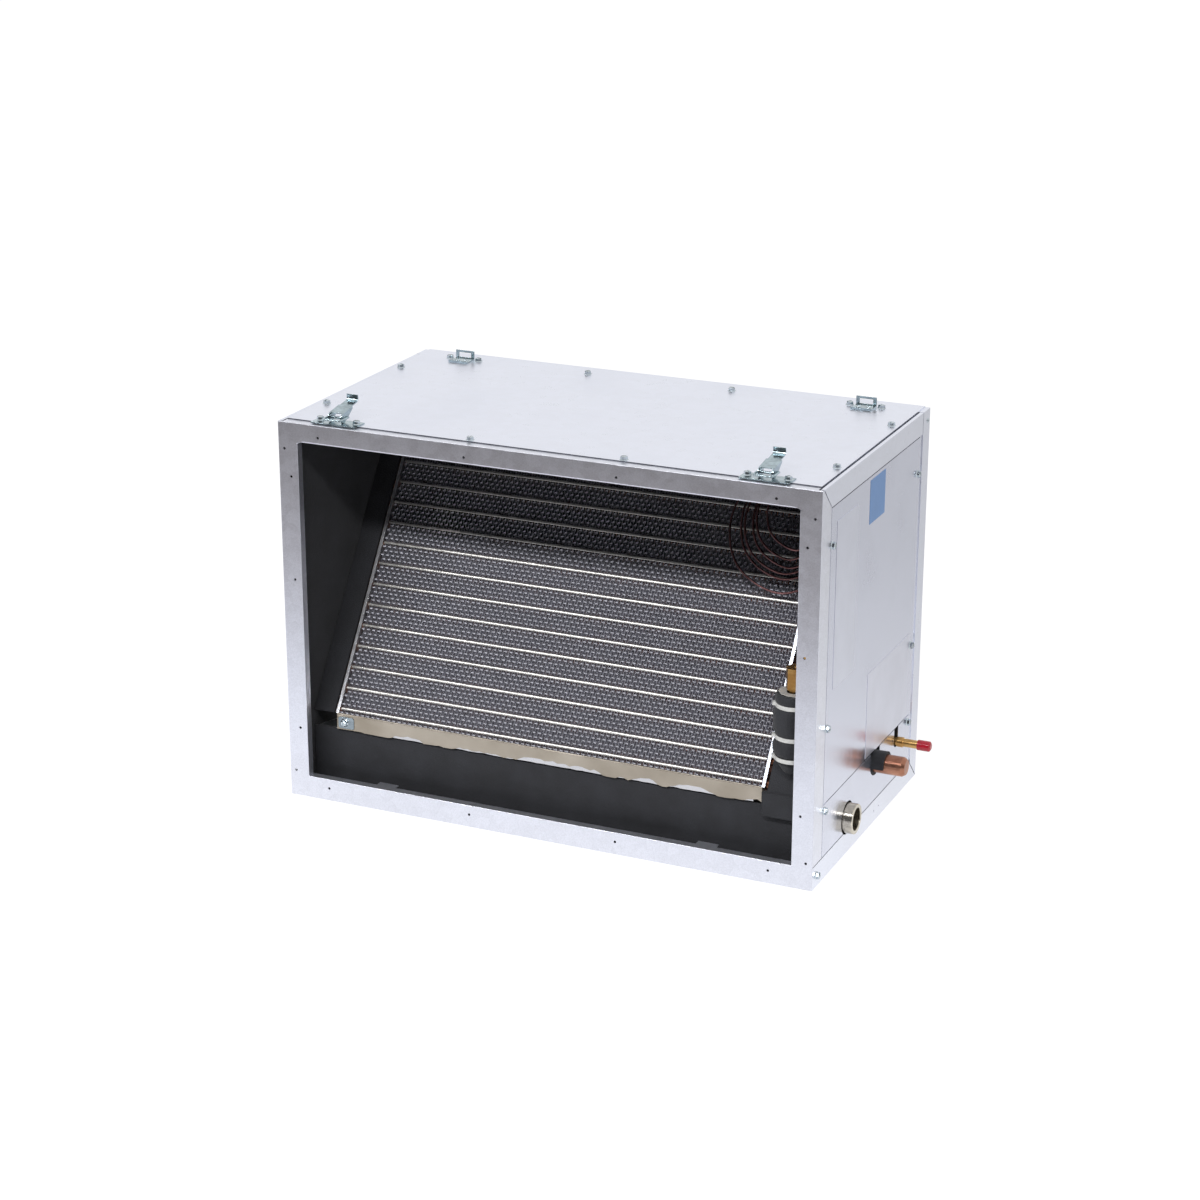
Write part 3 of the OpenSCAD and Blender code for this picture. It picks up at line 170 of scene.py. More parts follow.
def area_lamp(name, place, aim, size, power):
    lamp = bpy.data.lights.new(name, "AREA")
    lamp.shape = "RECTANGLE"
    lamp.size, lamp.size_y = size
    lamp.energy = power
    lamp_object = bpy.data.objects.new(name, lamp)
    lamp_object.location = place
    lamp_object.rotation_euler = (Vector(place) - Vector(aim)).to_track_quat("Z", "Y").to_euler()
    bpy.context.scene.collection.objects.link(lamp_object)


bpy.context.scene.view_settings.view_transform = "Standard"
area_lamp("key_lamp", (-0.25, -2.2, 2.35), (0, 0, 0.22), (3.7, 0.22), 72)

world = bpy.data.worlds.new("room")
bpy.context.scene.world = world
world.use_nodes = True
sky = world.node_tree.nodes["Background"]
seen = Link(world.node_tree)
seen_ray = seen.add("ShaderNodeLightPath", out="Is Camera Ray")
through_ray = seen.add("ShaderNodeLightPath", out="Is Transmission Ray")
open_ray = seen_ray.maths("MAXIMUM", seen_ray, through_ray)
mirror_ray = seen.add("ShaderNodeLightPath", out="Is Glossy Ray")
soft_light, more_when_seen, more_when_mirrored = 0.55, 0.45, 0.38
room_light = soft_light + more_when_seen * open_ray + more_when_mirrored * mirror_ray
world.node_tree.links.new(room_light.socket, sky.inputs["Strength"])
sky.inputs["Color"].default_value = (1, 1, 1, 1)


def stage_sheet(name, corners, finish):
    """A flat part of the studio, given by its four corners."""
    mesh = bpy.data.meshes.new(name)
    mesh.from_pydata(corners, [], [(0, 1, 2, 3)])
    mesh.materials.append(finish)
    sheet = bpy.data.objects.new(name, mesh)
    bpy.context.scene.collection.objects.link(sheet)
    return sheet


# The floor glows: evenly white for the camera, and for mirror rays with a painted reflection, a ramp
# from dark brown far in front of the coil to brighter than white just in front of it, so the metal mirrors it
# darker there. The stops run from 2 m in front of the coil to 2 m behind it.
floor_finish, floor_shader, spot = new_finish("floor_paint", 0, 0.9)
floor_shader.inputs["Base Color"].default_value = (0.9, 0.9, 0.9, 1)
straight = spot.add("ShaderNodeLightPath", out="Is Camera Ray")
mirrored = spot.add("ShaderNodeLightPath", out="Is Glossy Ray")
reflection_stops = [
    (0.0, (0.03, 0.022, 0.02, 1)), (0.17, (0.08, 0.06, 0.055, 1)), (0.25, (0.25, 0.21, 0.2, 1)),
    (0.33, (0.85, 0.86, 0.9, 1)), (0.4, (1.2, 1.22, 1.27, 1)), (0.5, 1.12), (0.6, 0.86), (0.75, 0.68)]
painted_reflection_ramp = spot.add("ShaderNodeValToRGB", {"stops": reflection_stops}, {0: spot.axis("Y").ramp(-2.0, 2.0)})
glow = spot.add("ShaderNodeEmission", {}, {"Color": straight.mix(painted_reflection_ramp, (1, 1, 1, 1)),
                                           "Strength": 1.17 * straight + mirrored})
floor_mix = spot.add("ShaderNodeMixShader", {}, {0: 0.8 * straight + 0.92 * mirrored,
                                                 1: Link(spot.tree, floor_shader.outputs[0]), 2: glow})
spot.tree.links.new(floor_mix.socket, spot.tree.nodes["Material Output"].inputs[0])
floor_reach, floor_level = 9, -0.4 * MM
stage_sheet("floor", [(x * floor_reach, y * floor_reach, floor_level)
                      for x, y in ((-1, -1), (1, -1), (1, 1), (-1, 1))], floor_finish)

# The room behind the camera is unlit: the bright metal mirrors it, and the hollows get less light
dark_finish, dark_shader, _ = new_finish("unlit_room", 0, 0.9)
dark_shader.inputs["Base Color"].default_value = (0.02, 0.02, 0.02, 1)
room_reach, room_place, room_height = 7, -3.6, 5.5
unlit = stage_sheet("unlit_room", [(x * room_reach, room_place, z * room_height)
                                   for x, z in ((-1, 0), (1, 0), (1, 1), (-1, 1))], dark_finish)
unlit.visible_camera = False
unlit.visible_transmission = False
unlit.visible_shadow = False


# The cabinet's sheets
# The tray, the two duct frames, the left panel, the top rails and the cover are pressed from
# 1 mm galvanised steel: pale grey, faintly blue, with fine crystals and a little handling dirt.

def galvanised(name, tone, dirt=1.0, gloss=0.3, grit=1.0, cut_edge_and_shade_at=None):
    """Hot-dip galvanised steel; tone is its colour as it looks under white light. A sheared edge
    that faces the front is painted dark, up to the place along Y that the last argument gives: partly its
    bare cut steel, partly painted shade of the gap at that edge."""
    material, shader, place = new_finish(name, 0.88, gloss)
    wander = place.add("ShaderNodeTexNoise", {}, {"Vector": place, "Scale": 60.0}, out="Color")
    warped = place.add("ShaderNodeVectorMath", {"operation": "MULTIPLY_ADD"},
                       {0: wander, 1: (0.012, 0.012, 0.012), 2: place})
    crystal = warped.cells(110).axis("X")
    grain = place.speckle(820, 2)
    smudge = place.speckle(9, 4).ramp(0.5, 0.72)
    streak = place.speckle(22, 3, (1, 1, 6)).ramp(0.62, 0.75)
    light = tuple(c * 1.03 for c in shade(*tone)[:3]) + (1,)
    dull = tuple(c * (0.96 - 0.04 * grit) for c in shade(*tone)[:3]) + (1,)
    soiled = tuple(c * 0.86 for c in shade(*tone)[:3]) + (1,)
    body = (0.35 * crystal + 0.65 * grain.ramp(0.3, 0.7)).mix(dull, light)
    worn = (dirt * 0.35 * smudge + dirt * 0.2 * streak).mix(body, soiled)
    # The sheared front edge: bare cut steel, painted darker still as the shade in the gap at that edge.
    if cut_edge_and_shade_at is not None:
        worn = (place.axis("Y") < cut_edge_and_shade_at).mix(worn, shade(96, 98, 106))
    feed(shader, "Base Color", worn)
    feed(shader, "Roughness", gloss - 0.05 + 0.05 * crystal + 0.05 * smudge + 0.06 * grain)
    relief(shader, 0.3 * place.speckle(2.2, 2) + 0.045 * grit * grain, 0.0006)
    return material


def bare_copy(node):
    """A CAD node's shape as an editable mesh: joined at its corners, with its flat faces whole."""
    shape = bmesh.new()
    shape.from_mesh(nodes[node].data)
    bmesh.ops.remove_doubles(shape, verts=shape.verts, dist=2e-6)
    bmesh.ops.dissolve_limit(shape, angle_limit=math.radians(0.4), verts=shape.verts, edges=shape.edges)
    return shape


def finished(name, shape, material, body, slot, smooth_angle=35, weighted=False):
    """Makes a mesh the finished piece: outward faces, shading, material and body. The slot is not used."""
    bmesh.ops.recalc_face_normals(shape, faces=shape.faces)
    mesh = bpy.data.meshes.new(name)
    shape.to_mesh(mesh)
    shape.free()
    mesh.materials.clear()
    mesh.materials.append(material)
    piece = bpy.data.objects.new(name, mesh)
    bpy.context.scene.collection.objects.link(piece)
    if smooth_angle:
        mesh.shade_smooth()
        mesh.set_sharp_from_angle(angle=math.radians(smooth_angle))
    if weighted:
        even = piece.modifiers.new("even_shading", "WEIGHTED_NORMAL")
        even.keep_sharp = True
    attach(piece, body)
    return piece


def rounded(shape, radius, steps=2, least_angle=25):
    """Rounds a shape's sharp edges, as pressing, moulding or deburring leaves them."""
    least = math.radians(least_angle)
    sharp = [e for e in shape.edges if len(e.link_faces) == 2 and e.calc_face_angle(0) > least]
    bmesh.ops.bevel(shape, geom=sharp, offset=radius, offset_type="OFFSET", segments=steps,
                    profile=0.5, affect="EDGES", clamp_overlap=True)
    return shape


def dressed(node, material, body, slot, radius, steps=2, smooth_angle=35):
    """A finished piece in a CAD node's place: its own shape with rounded edges."""
    piece = finished(node + "_piece", rounded(bare_copy(node), radius, steps), material, body, slot,
                     smooth_angle, weighted=True)
    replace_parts(piece, node)
    return piece


def subdivided(piece, levels):
    """Smooths a finished piece by subdivision, kept in its mesh."""
    modifier = piece.modifiers.new("smooth", "SUBSURF")
    modifier.levels = modifier.render_levels = levels
    mesh = bpy.data.meshes.new_from_object(piece.evaluated_get(bpy.context.evaluated_depsgraph_get()))
    piece.modifiers.remove(modifier)
    piece.data = mesh
    mesh.shade_smooth()
    return piece


def sliced(shape, low, high, cells):
    """Cuts a shape by planes across each axis, so that its faces can be moved in small parts."""
    for axis, cell in enumerate(cells):
        if not cell:
            continue
        cuts = max(int((high[axis] - low[axis]) / cell), 1)
        normal = Vector([1.0 if k == axis else 0.0 for k in range(3)])
        for k in range(1, cuts):
            bmesh.ops.bisect_plane(shape, geom=shape.verts[:] + shape.edges[:] + shape.faces[:],
                                   plane_co=normal * (low[axis] + (high[axis] - low[axis]) * k / cuts),
                                   plane_no=normal, dist=1e-7)
    return shape


sheet_edge = 0.35 * MM
sheet_look = ((232, 235, 246), 0.5, 0.3, 0.6)
zinc_coat = galvanised("galvanised_steel", *sheet_look)
for sheet in ("base_tray", "tray_sides", "back_frame", "left_panel", "left_top_rail", "right_top_rail"):
    dressed(sheet, zinc_coat, "cabinet", "galvanised_sheet", sheet_edge)
cover_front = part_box("top_cover")[0][1]
# The cover's front edge is painted dark: its bare cut steel and painted shade of the gap over the front
# flange's lip.
cover_coat = galvanised("galvanised_cover", *sheet_look, cover_front + 0.4 * MM)
dressed("top_cover", cover_coat, "cabinet", "galvanised_sheet", sheet_edge)

# The front flange's folds round the air opening are pressed to a wider radius than its outer folds
flange_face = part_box("front_frame")[0][1]
round_opening, anywhere = (0.294, 0.0305, 0.4225), (1.0, -1.0, 1.0)
frame_shape = bare_copy("front_frame")
for (half_width, bottom, top), radius, steps in ((round_opening, 2.3 * MM, 5), (anywhere, 0.7 * MM, 3)):
    folds = []
    for edge in frame_shape.edges:
        on_face = all(abs(v.co.y - flange_face) < 1e-5 for v in edge.verts)
        inside = all(abs(v.co.x) < half_width and bottom < v.co.z < top for v in edge.verts)
        if on_face and inside and edge.calc_length() > 0.3 and edge.calc_face_angle(0) > 1:
            folds.append(edge)
    bmesh.ops.bevel(frame_shape, geom=folds, offset=radius, offset_type="OFFSET", segments=steps,
                    profile=0.5, affect="EDGES", clamp_overlap=True)
flange_coat = galvanised("galvanised_flange", (233, 235, 245), 0.9, 0.31, 3.0)
front_frame = finished("front_frame_piece", rounded(frame_shape, 0.3 * MM, 2, 40), flange_coat,
                       "cabinet", "galvanised_sheet", 35, weighted=True)
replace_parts(front_frame, "front_frame")


# The side panels and the blank labels
# The access panel lifts off with its lining; the pipe panel below it stays. Both are the same
# steel. The labels are plain stickers: a clear film, a small blue square and a thin notice sheet.

# The panels' darker tone is painted shade: the right side faces away from the lamp. Their lower roughness is
# their own.
shaded_panel_coat = galvanised("galvanised_panel", (216, 219, 233), 1.0, 0.22, 0.35)
dressed("access_panel", shaded_panel_coat, "access_cover", "galvanised_sheet", sheet_edge)
dressed("pipe_panel", shaded_panel_coat, "cabinet", "galvanised_sheet", sheet_edge)


def film(name, colour, roughness, clear=0.8):
    """A sticker's bare film, faintly uneven where it lies on the steel; clear is how much of the
    steel's mirror comes through it."""
    material, shader, place = new_finish(name, clear, roughness, Coat_Weight=0.2)
    cloud = place.speckle(30, 3)
    dim = tuple(c * 0.94 for c in colour[:3]) + (1,)
    feed(shader, "Base Color", cloud.ramp(0.3, 0.7).mix(dim, colour))
    relief(shader, place.speckle(60, 2), 0.0002)
    return material


for label, sticker, slot in (
        ("rating_label", film("label_film", shade(222, 225, 238), 0.32), "label_white"),
        ("notice_label", film("notice_film", shade(226, 228, 240), 0.4), "label_white"),
        ("square_label", film("blue_film", shade(108, 156, 216), 0.4, 0.25), "label_blue")):
    dressed(label, sticker, "access_cover", slot, 0.1 * MM)


# The foam linings
# Closed-cell black foam, 12 mm thick, glued inside every wall. It is soft and a little uneven,
# with rounded cut edges and a fine closed skin that takes a dull sheen.

def black_foam(name, tone, pore=900):
    material, shader, place = new_finish(name, 0, 0.82, Sheen_Weight=0.12)
    pores = place.cells(pore, "Distance")
    cloud = place.speckle(28, 4)
    dark, pale = shade(*(v * 0.85 for v in tone)), shade(*(v * 1.15 for v in tone))
    feed(shader, "Base Color", cloud.ramp(0.3, 0.75).mix(dark, pale))
    feed(shader, "Roughness", 0.7 + 0.2 * cloud)
    relief(shader, 0.5 * pores + 0.5 * place.speckle(240, 3), 0.0005)
    return material


def foam_piece(node, body, cell, edge, sag, stretch=(1, 1, 1), wave=14.0, material=None,
               pressed=None):
    """A foam sheet in a CAD node's place: cut edges rounded, its skin let sag in slow waves; what
    presses on it is a function of the place, which gives how far the skin moves there."""
    shape = sliced(rounded(bare_copy(node), edge, 2), *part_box(node), (cell, cell, cell))
    bmesh.ops.recalc_face_normals(shape, faces=shape.faces)
    shape.normal_update()
    moves = []
    for v in shape.verts:
        spot = Vector((v.co.x * stretch[0], v.co.y * stretch[1], v.co.z * stretch[2])) * wave
        depth = 0.5 - 0.5 * noise.fractal(spot, 0.9, 2.0, 3)
        moves.append(v.co - v.normal * sag * min(max(depth, 0.0), 1.0))
        if pressed:
            moves[-1] = moves[-1] + pressed(v.co)
    for v, co in zip(shape.verts, moves):
        v.co = co
    piece = finished(node + "_piece", shape, material or foam_skin, body, "black_foam", 50)
    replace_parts(piece, node)
    return piece


foam_skin = black_foam("foam_skin", (40, 41, 46))
for lining, body in (("left_liner", "cabinet"), ("top_liner", "cabinet"), ("bottom_liner", "cabinet"),
                     ("pipe_liner", "cabinet"), ("access_liner", "access_cover")):
    foam_piece(lining, body, 14 * MM, 1.2 * MM, 0.8 * MM)


# The coil's fins
# Thin aluminium plates pressed onto the tubes, their front edges lanced into tabs. Every second
# one is shifted by half a spacing, so the face reads as rows of small staggered cells.

slab_foot = Vector((0, -0.1413, 0.0944))
slab_tilt = math.radians(56.441)
slab_length, slab_depth = 0.400, 0.06495
fins_from, fins_to = -0.271, 0.246


class Grower:
    """A Geometry Nodes tree with named sizes, run once and turned into a plain mesh."""

    def __init__(self, name, **sizes):
        self.tree = bpy.data.node_groups.new(name, "GeometryNodeTree")
        self.tree.interface.new_socket("Geometry", in_out="OUTPUT", socket_type="NodeSocketGeometry")
        self.tree.interface.new_socket("Places", in_out="INPUT", socket_type="NodeSocketGeometry")
        self.sizes = sizes
        self.keys = {}
        for size, value in sizes.items():
            kind = "NodeSocketInt" if isinstance(value, int) else "NodeSocketFloat"
            socket = self.tree.interface.new_socket(size, in_out="INPUT", socket_type=kind)
            self.keys[size] = socket.identifier
        self.inputs = self.tree.nodes.new("NodeGroupInput")
        self.add = Link(self.tree).add

    def size(self, name):
        return Link(self.tree, self.inputs.outputs[name])

    def vector(self, x=0.0, y=0.0, z=0.0):
        return self.add("ShaderNodeCombineXYZ", {}, {0: x, 1: y, 2: z})

    def grow(self, geometry, material, places=()):
        """Ends the tree, runs it on the given places and gives back the mesh as a shape to finish."""
        whole = self.add("GeometryNodeRealizeInstances", {}, {0: geometry})
        painted = self.add("GeometryNodeSetMaterial", {}, {0: whole, "Material": material})
        end = self.tree.nodes.new("NodeGroupOutput")
        self.tree.links.new(painted.socket, end.inputs[0])
        points = bpy.data.meshes.new(self.tree.name + "_places")
        points.from_pydata(places, [], [])
        seed = bpy.data.objects.new(self.tree.name + "_seed", points)
        bpy.context.scene.collection.objects.link(seed)
        modifier = seed.modifiers.new("grow", "NODES")
        modifier.node_group = self.tree
        for size, value in self.sizes.items():
            modifier[self.keys[size]] = value
        view = bpy.context.evaluated_depsgraph_get()
        mesh = bpy.data.meshes.new_from_object(seed.evaluated_get(view))
        seed.modifiers.remove(modifier)
        bpy.data.objects.remove(seed)
        shape = bmesh.new()
        shape.from_mesh(mesh)
        bpy.data.meshes.remove(mesh)
        return shape


def aluminium(name, tone, roughness, metal, gap_light_tone=None):
    """Rolled aluminium. The last tone is painted light: what lies more than 2 mm inside the coil takes it,
    brighter and less metallic, to lift the dark gaps between the fins.
    """
    material, shader, place = new_finish(name, metal, roughness)
    cloud = place.speckle(70, 3)
    mottle = place.speckle(420, 2, (1, 0.3, 0.3))
    body = (0.5 * cloud.ramp(0.3, 0.7) + 0.5 * mottle.ramp(0.35, 0.65)).mix(
        shade(*(v * 0.86 for v in tone)), shade(*tone))
    if gap_light_tone:
        # Painted light: deeper than 2 mm the fins turn to the brighter tone and less metallic, lifting the
        # shade in the gaps.
        across, along = math.sin(slab_tilt), math.cos(slab_tilt)
        plane = along * slab_foot.z - across * slab_foot.y
        rise = along * place.axis("Z") - across * place.axis("Y")
        front = rise.ramp(plane - 2.4 * MM, plane - 1.4 * MM)
        body = front.mix(shade(*gap_light_tone), body)
        gap_light_metal = 0.25
        feed(shader, "Metallic", gap_light_metal + (metal - gap_light_metal) * front)
    feed(shader, "Base Color", body)
    feed(shader, "Roughness", roughness - 0.06 + 0.14 * cloud)
    relief(shader, mottle, 0.0003)
    return material


def fin_bank(name, start, count, pitch, odd_first, material):
    """One bank of fins standing on the tubes, from a place along X. The front edge of each fin is
    lanced into short tabs that lie over to the left, in the gaps between its neighbour's tabs."""
    spacing, steps_in_tab = 10.0 * MM, 8
    grower = Grower(name, fins=count, fin_pitch=pitch, first_fin=start, odd_first=odd_first,
                    fin_thickness=0.3 * MM, tab_reach=2.7 * MM, tab_root=1.5 * MM, tab_spacing=spacing,
                    depth=slab_depth - 0.8 * MM, length=slab_length)
    size = grower.size
    steps = int(slab_length / spacing) * steps_in_tab + 1
    plate = grower.add("GeometryNodeMeshGrid", {}, {"Size X": size("length"), "Size Y": size("depth"),
                                                    "Vertices X": steps, "Vertices Y": 3})
    stand = grower.add("GeometryNodeTransform", {}, {0: plate, "Translation": grower.vector(
        0.5 * size("length"), -0.5 * size("depth") - 0.0003, 0.0)})
    line = grower.add("GeometryNodeMeshLine", {}, {
        "Count": size("fins"), "Start Location": grower.vector(size("first_fin")),
        "Offset": grower.vector(size("fin_pitch"))})
    number = grower.add("GeometryNodeInputIndex") + size("odd_first")
    kept = grower.add("GeometryNodeStoreNamedAttribute", {"data_type": "FLOAT", "domain": "POINT"},
                      {0: line, "Name": "shift", "Value": number.maths("MODULO", number, 2.0)})
    fins = grower.add("GeometryNodeInstanceOnPoints", {}, {0: kept, "Instance": stand,
                                                           "Rotation": (math.pi / 2, 0.0, math.pi / 2)})
    whole = grower.add("GeometryNodeRealizeInstances", {}, {0: fins})
    place = grower.add("GeometryNodeInputPosition")
    shift = grower.add("GeometryNodeInputNamedAttribute", {"data_type": "FLOAT"}, {"Name": "shift"})
    along = place.axis("Y") / size("tab_spacing") + 0.5 * shift + 0.02
    part = along - along.maths("FLOOR", along)
    tab_starts, tab_ends, edge_depth = 0.08, 0.36, -0.6 * MM
    tab = (part < tab_ends) * (part > tab_starts)
    tip = place.axis("Z") > edge_depth
    root = (place.axis("Z") < edge_depth) * (place.axis("Z") > -0.75 * size("depth"))
    bent = grower.add("GeometryNodeSetPosition", {}, {0: whole, "Offset": grower.vector(
        -1.0 * size("tab_reach") * tab * tip, 0.0,
        root * (0.5 * size("depth") - size("tab_root")) - 0.4 * size("tab_root") * tab * tip)})
    thick = grower.add("GeometryNodeExtrudeMesh", {"mode": "FACES"},
                       {0: bent, "Offset Scale": size("fin_thickness"), "Individual": False})
    closed = grower.add("GeometryNodeJoinGeometry", {}, {0: thick})
    grower.tree.links.new(grower.add("GeometryNodeFlipFaces", {}, {0: bent}).socket,
                          closed.socket.node.inputs[0])
    joined = grower.add("GeometryNodeMergeByDistance", {}, {0: closed, "Distance": 0.00001})
    leaned = grower.add("GeometryNodeTransform", {}, {0: joined, "Translation": tuple(slab_foot),
                                                      "Rotation": (slab_tilt, 0.0, 0.0)})
    return grower.grow(leaned, material)


# The fins' second tone is painted light in the gaps between them.
fin_sheet = aluminium("fin_aluminium_sheet", (168, 168, 177), 0.47, 0.62, (212, 212, 221))
banks, fins_in_bank = ("left", "middle", "right"), 51
first_fin, room_at_ends = fins_from + 3.6 * MM, 4.5 * MM
fin_pitch = (fins_to - fins_from - room_at_ends) / (len(banks) * fins_in_bank - 1)
for k, side in enumerate(banks):
    fins = fin_bank(side + "_fin_bank", first_fin + k * fins_in_bank * fin_pitch, fins_in_bank, fin_pitch,
                    float(k % 2), fin_sheet)
    bank = finished(side + "_fins", fins, fin_sheet, "cabinet", "fin_aluminium", 20)
    if k == 0:
        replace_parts(bank, "fin_pack")


# The coil's tubes and collars
# Copper tubes cross the fins in three staggered rows and turn back in bends outside the end
# plates. Inside the pack the fins' flared collars cover them, and catch the light as bright lines.

tube_pitch, tubes_in_row = 25 * MM, 16


def copper(name, bright, dark, roughness):
    material, shader, place = new_finish(name, 0.9, roughness)
    stain = place.speckle(45, 5)
    fine = place.speckle(300, 3)
    worn = 0.75 * stain.ramp(0.35, 0.65) + 0.25 * fine
    feed(shader, "Base Color", worn.mix(shade(*dark), shade(*bright)))
    feed(shader, "Roughness", roughness - 0.1 + 0.25 * stain)
    relief(shader, fine, 0.0002)
    return material


def collar_rows(material):
    """The collars' crests along the front row of tubes: one low, crowned strip for each tube."""
    grower = Grower("collar_rows", crest_width=3.0 * MM, crest_height=1.2 * MM,
                    crest_length=fins_to - fins_from - 3 * MM, tube_pitch=tube_pitch, tubes=tubes_in_row,
                    first_tube=tube_pitch / 4, crest_depth=-0.25 * MM)
    size = grower.size
    sleeve = grower.add("GeometryNodeMeshCylinder", {}, {
        "Vertices": 32, "Radius": 0.5 * size("crest_width"), "Depth": size("crest_length")})
    flat = grower.add("GeometryNodeTransform", {}, {0: sleeve, "Scale": grower.vector(
        size("crest_height") / size("crest_width"), 1.0, 1.0)})
    line = grower.add("GeometryNodeMeshLine", {}, {
        "Count": size("tubes"), "Offset": grower.vector(0.0, size("tube_pitch")),
        "Start Location": grower.vector((fins_from + fins_to) / 2, size("first_tube"), size("crest_depth"))})
    sleeves = grower.add("GeometryNodeInstanceOnPoints", {}, {0: line, "Instance": flat,
                                                              "Rotation": (0.0, math.pi / 2, 0.0)})
    leaned = grower.add("GeometryNodeTransform", {}, {0: sleeves, "Translation": tuple(slab_foot),
                                                      "Rotation": (slab_tilt, 0.0, 0.0)})
    return grower.grow(leaned, material)


collar_sheet = aluminium("collar_aluminium", (236, 234, 230), 0.34, 0.8)
finished("fin_collars", collar_rows(collar_sheet), collar_sheet, "cabinet", "fin_aluminium", 40)
tube_copper = copper("tube_copper", (214, 150, 118), (150, 92, 66), 0.34)
for tube in ("coil_tubes", "tube_bends", "suction_header"):
    nodes[tube].data.materials.clear()
    nodes[tube].data.materials.append(tube_copper)


# The slab's end plates, channel and clip
# Galvanised end plates with turned flanges, a lower channel of cream-coloured sheet whose apron
# hangs in front of the drain pan, and a small clip held by a hex screw at its left corner. A sheet
# closes the space above the slab.

end_coat = galvanised("end_plate_steel", (232, 232, 236), 0.6)
dressed("top_baffle", end_coat, "cabinet", "galvanised_sheet", 0.3 * MM)
# The right end plate takes a darker copy of the same steel, with more dirt; its darker tone is painted shade.
shaded_end_coat = galvanised("end_plate_steel_dull", (176, 181, 192), 1.0)
plate_thickness, flange_share = 1.2 * MM, 0.45
for plate, side, coat in (("left_end_plate", -1, end_coat), ("right_end_plate", 1, shaded_end_coat)):
    plate_shape = bare_copy(plate)
    low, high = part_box(plate)
    root = high[0] - plate_thickness if side < 0 else low[0] + plate_thickness
    for v in plate_shape.verts:
        if (v.co.x - root) * side > 0:
            v.co.x = root + (v.co.x - root) * flange_share
    made = finished(plate + "_piece", rounded(plate_shape, 0.3 * MM), coat, "cabinet",
                    "galvanised_sheet", 35, weighted=True)
    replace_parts(made, plate)


def cream_sheet(name):
    material, shader, place = new_finish(name, 0.25, 0.42)
    blot = place.speckle(16, 4)
    worn = place.speckle(24, 3, (0.4, 1, 1)).ramp(0.56, 0.72)
    body = blot.ramp(0.35, 0.7).mix(shade(170, 160, 146), shade(196, 187, 174))
    feed(shader, "Base Color", (0.45 * worn).mix(body, shade(152, 140, 122)))
    feed(shader, "Roughness", 0.36 + 0.16 * blot)
    relief(shader, place.speckle(14, 2) + 0.1 * place.speckle(300, 2), 0.0008)
    return material


apron_paint = cream_sheet("channel_paint")
channel_low, channel_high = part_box("bottom_channel")
apron_top = slab_foot.z - 1.5 * MM
apron_drop, most_torn, whole_at_left = 18 * MM, 7.5 * MM, 20 * MM
apron_shape = sliced(rounded(bare_copy("bottom_channel"), 0.3 * MM, 1), (channel_low[0], 0, channel_low[2]),
                     (channel_high[0], 0, apron_top), (5 * MM, 0, 3 * MM))
for v in apron_shape.verts:
    hang = min(max((apron_top - v.co.z) / apron_drop, 0.0), 1.0)
    if v.co.y < slab_foot.y - 0.5 * MM and hang > 0:
        wave = noise.fractal(Vector((v.co.x * 34, v.co.z * 20, 3.1)), 0.8, 2.0, 3)
        torn = 0.5 + noise.fractal(Vector((v.co.x * 26, 7.7, 0)), 0.7, 2.0, 4)
        from_left = (v.co.x - channel_low[0] - whole_at_left) / (60 * MM)
        v.co.y += hang * (0.9 * MM * wave - 0.8 * MM)
        v.co.z += hang * most_torn * min(max(torn, 0.0), 1.0) * min(max(from_left, 0.1), 1.0)
channel = finished("channel_piece", apron_shape, apron_paint, "cabinet", "channel_sheet", 60)
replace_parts(channel, "bottom_channel")


def torn_strip(name, low_x, high_x, y, low_z, high_z, material):
    """The channel's bright inner edge, which shows where the cream sheet's lower edge is torn."""
    shape = bmesh.new()
    columns = []
    count = int((high_x - low_x) / (4 * MM))
    profile = ((0, high_z), (-0.4 * MM, (low_z + high_z) / 2), (-0.9 * MM, low_z),
               (-0.2 * MM, low_z - 0.5 * MM), (0.5 * MM, low_z), (0.6 * MM, high_z))
    for k in range(count + 1):
        x = low_x + (high_x - low_x) * k / count
        sag = 0.6 * MM * noise.fractal(Vector((x * 60, 1.3, 5.0)), 0.8, 2.0, 3)
        columns.append([shape.verts.new((x, y + depth + 0.5 * sag, z + sag)) for depth, z in profile])
    sides = len(profile)
    for first, second in zip(columns, columns[1:]):
        for k in range(sides):
            shape.faces.new((first[k], second[k], second[(k + 1) % sides], first[(k + 1) % sides]))
    shape.faces.new(columns[0])
    shape.faces.new(list(reversed(columns[-1])))
    return finished(name, shape, material, "cabinet", "channel_sheet", 40)


torn_strip("channel_inner_edge", channel_low[0] + 50 * MM, channel_high[0] - 10 * MM,
           slab_foot.y - 1.3 * MM, slab_foot.z - 17 * MM, slab_foot.z - 8 * MM, end_coat)


def bright_zinc(name, tone, roughness):
    """Bright zinc plating: cool, a little green, with soft clouds."""
    material, shader, place = new_finish(name, 0.95, roughness)
    cloud = place.speckle(160, 3)
    feed(shader, "Base Color", cloud.ramp(0.3, 0.7).mix(shade(*(v * 0.82 for v in tone)), shade(*tone)))
    feed(shader, "Roughness", roughness - 0.05 + 0.15 * cloud)
    relief(shader, place.speckle(900, 2), 0.00006)
    return material


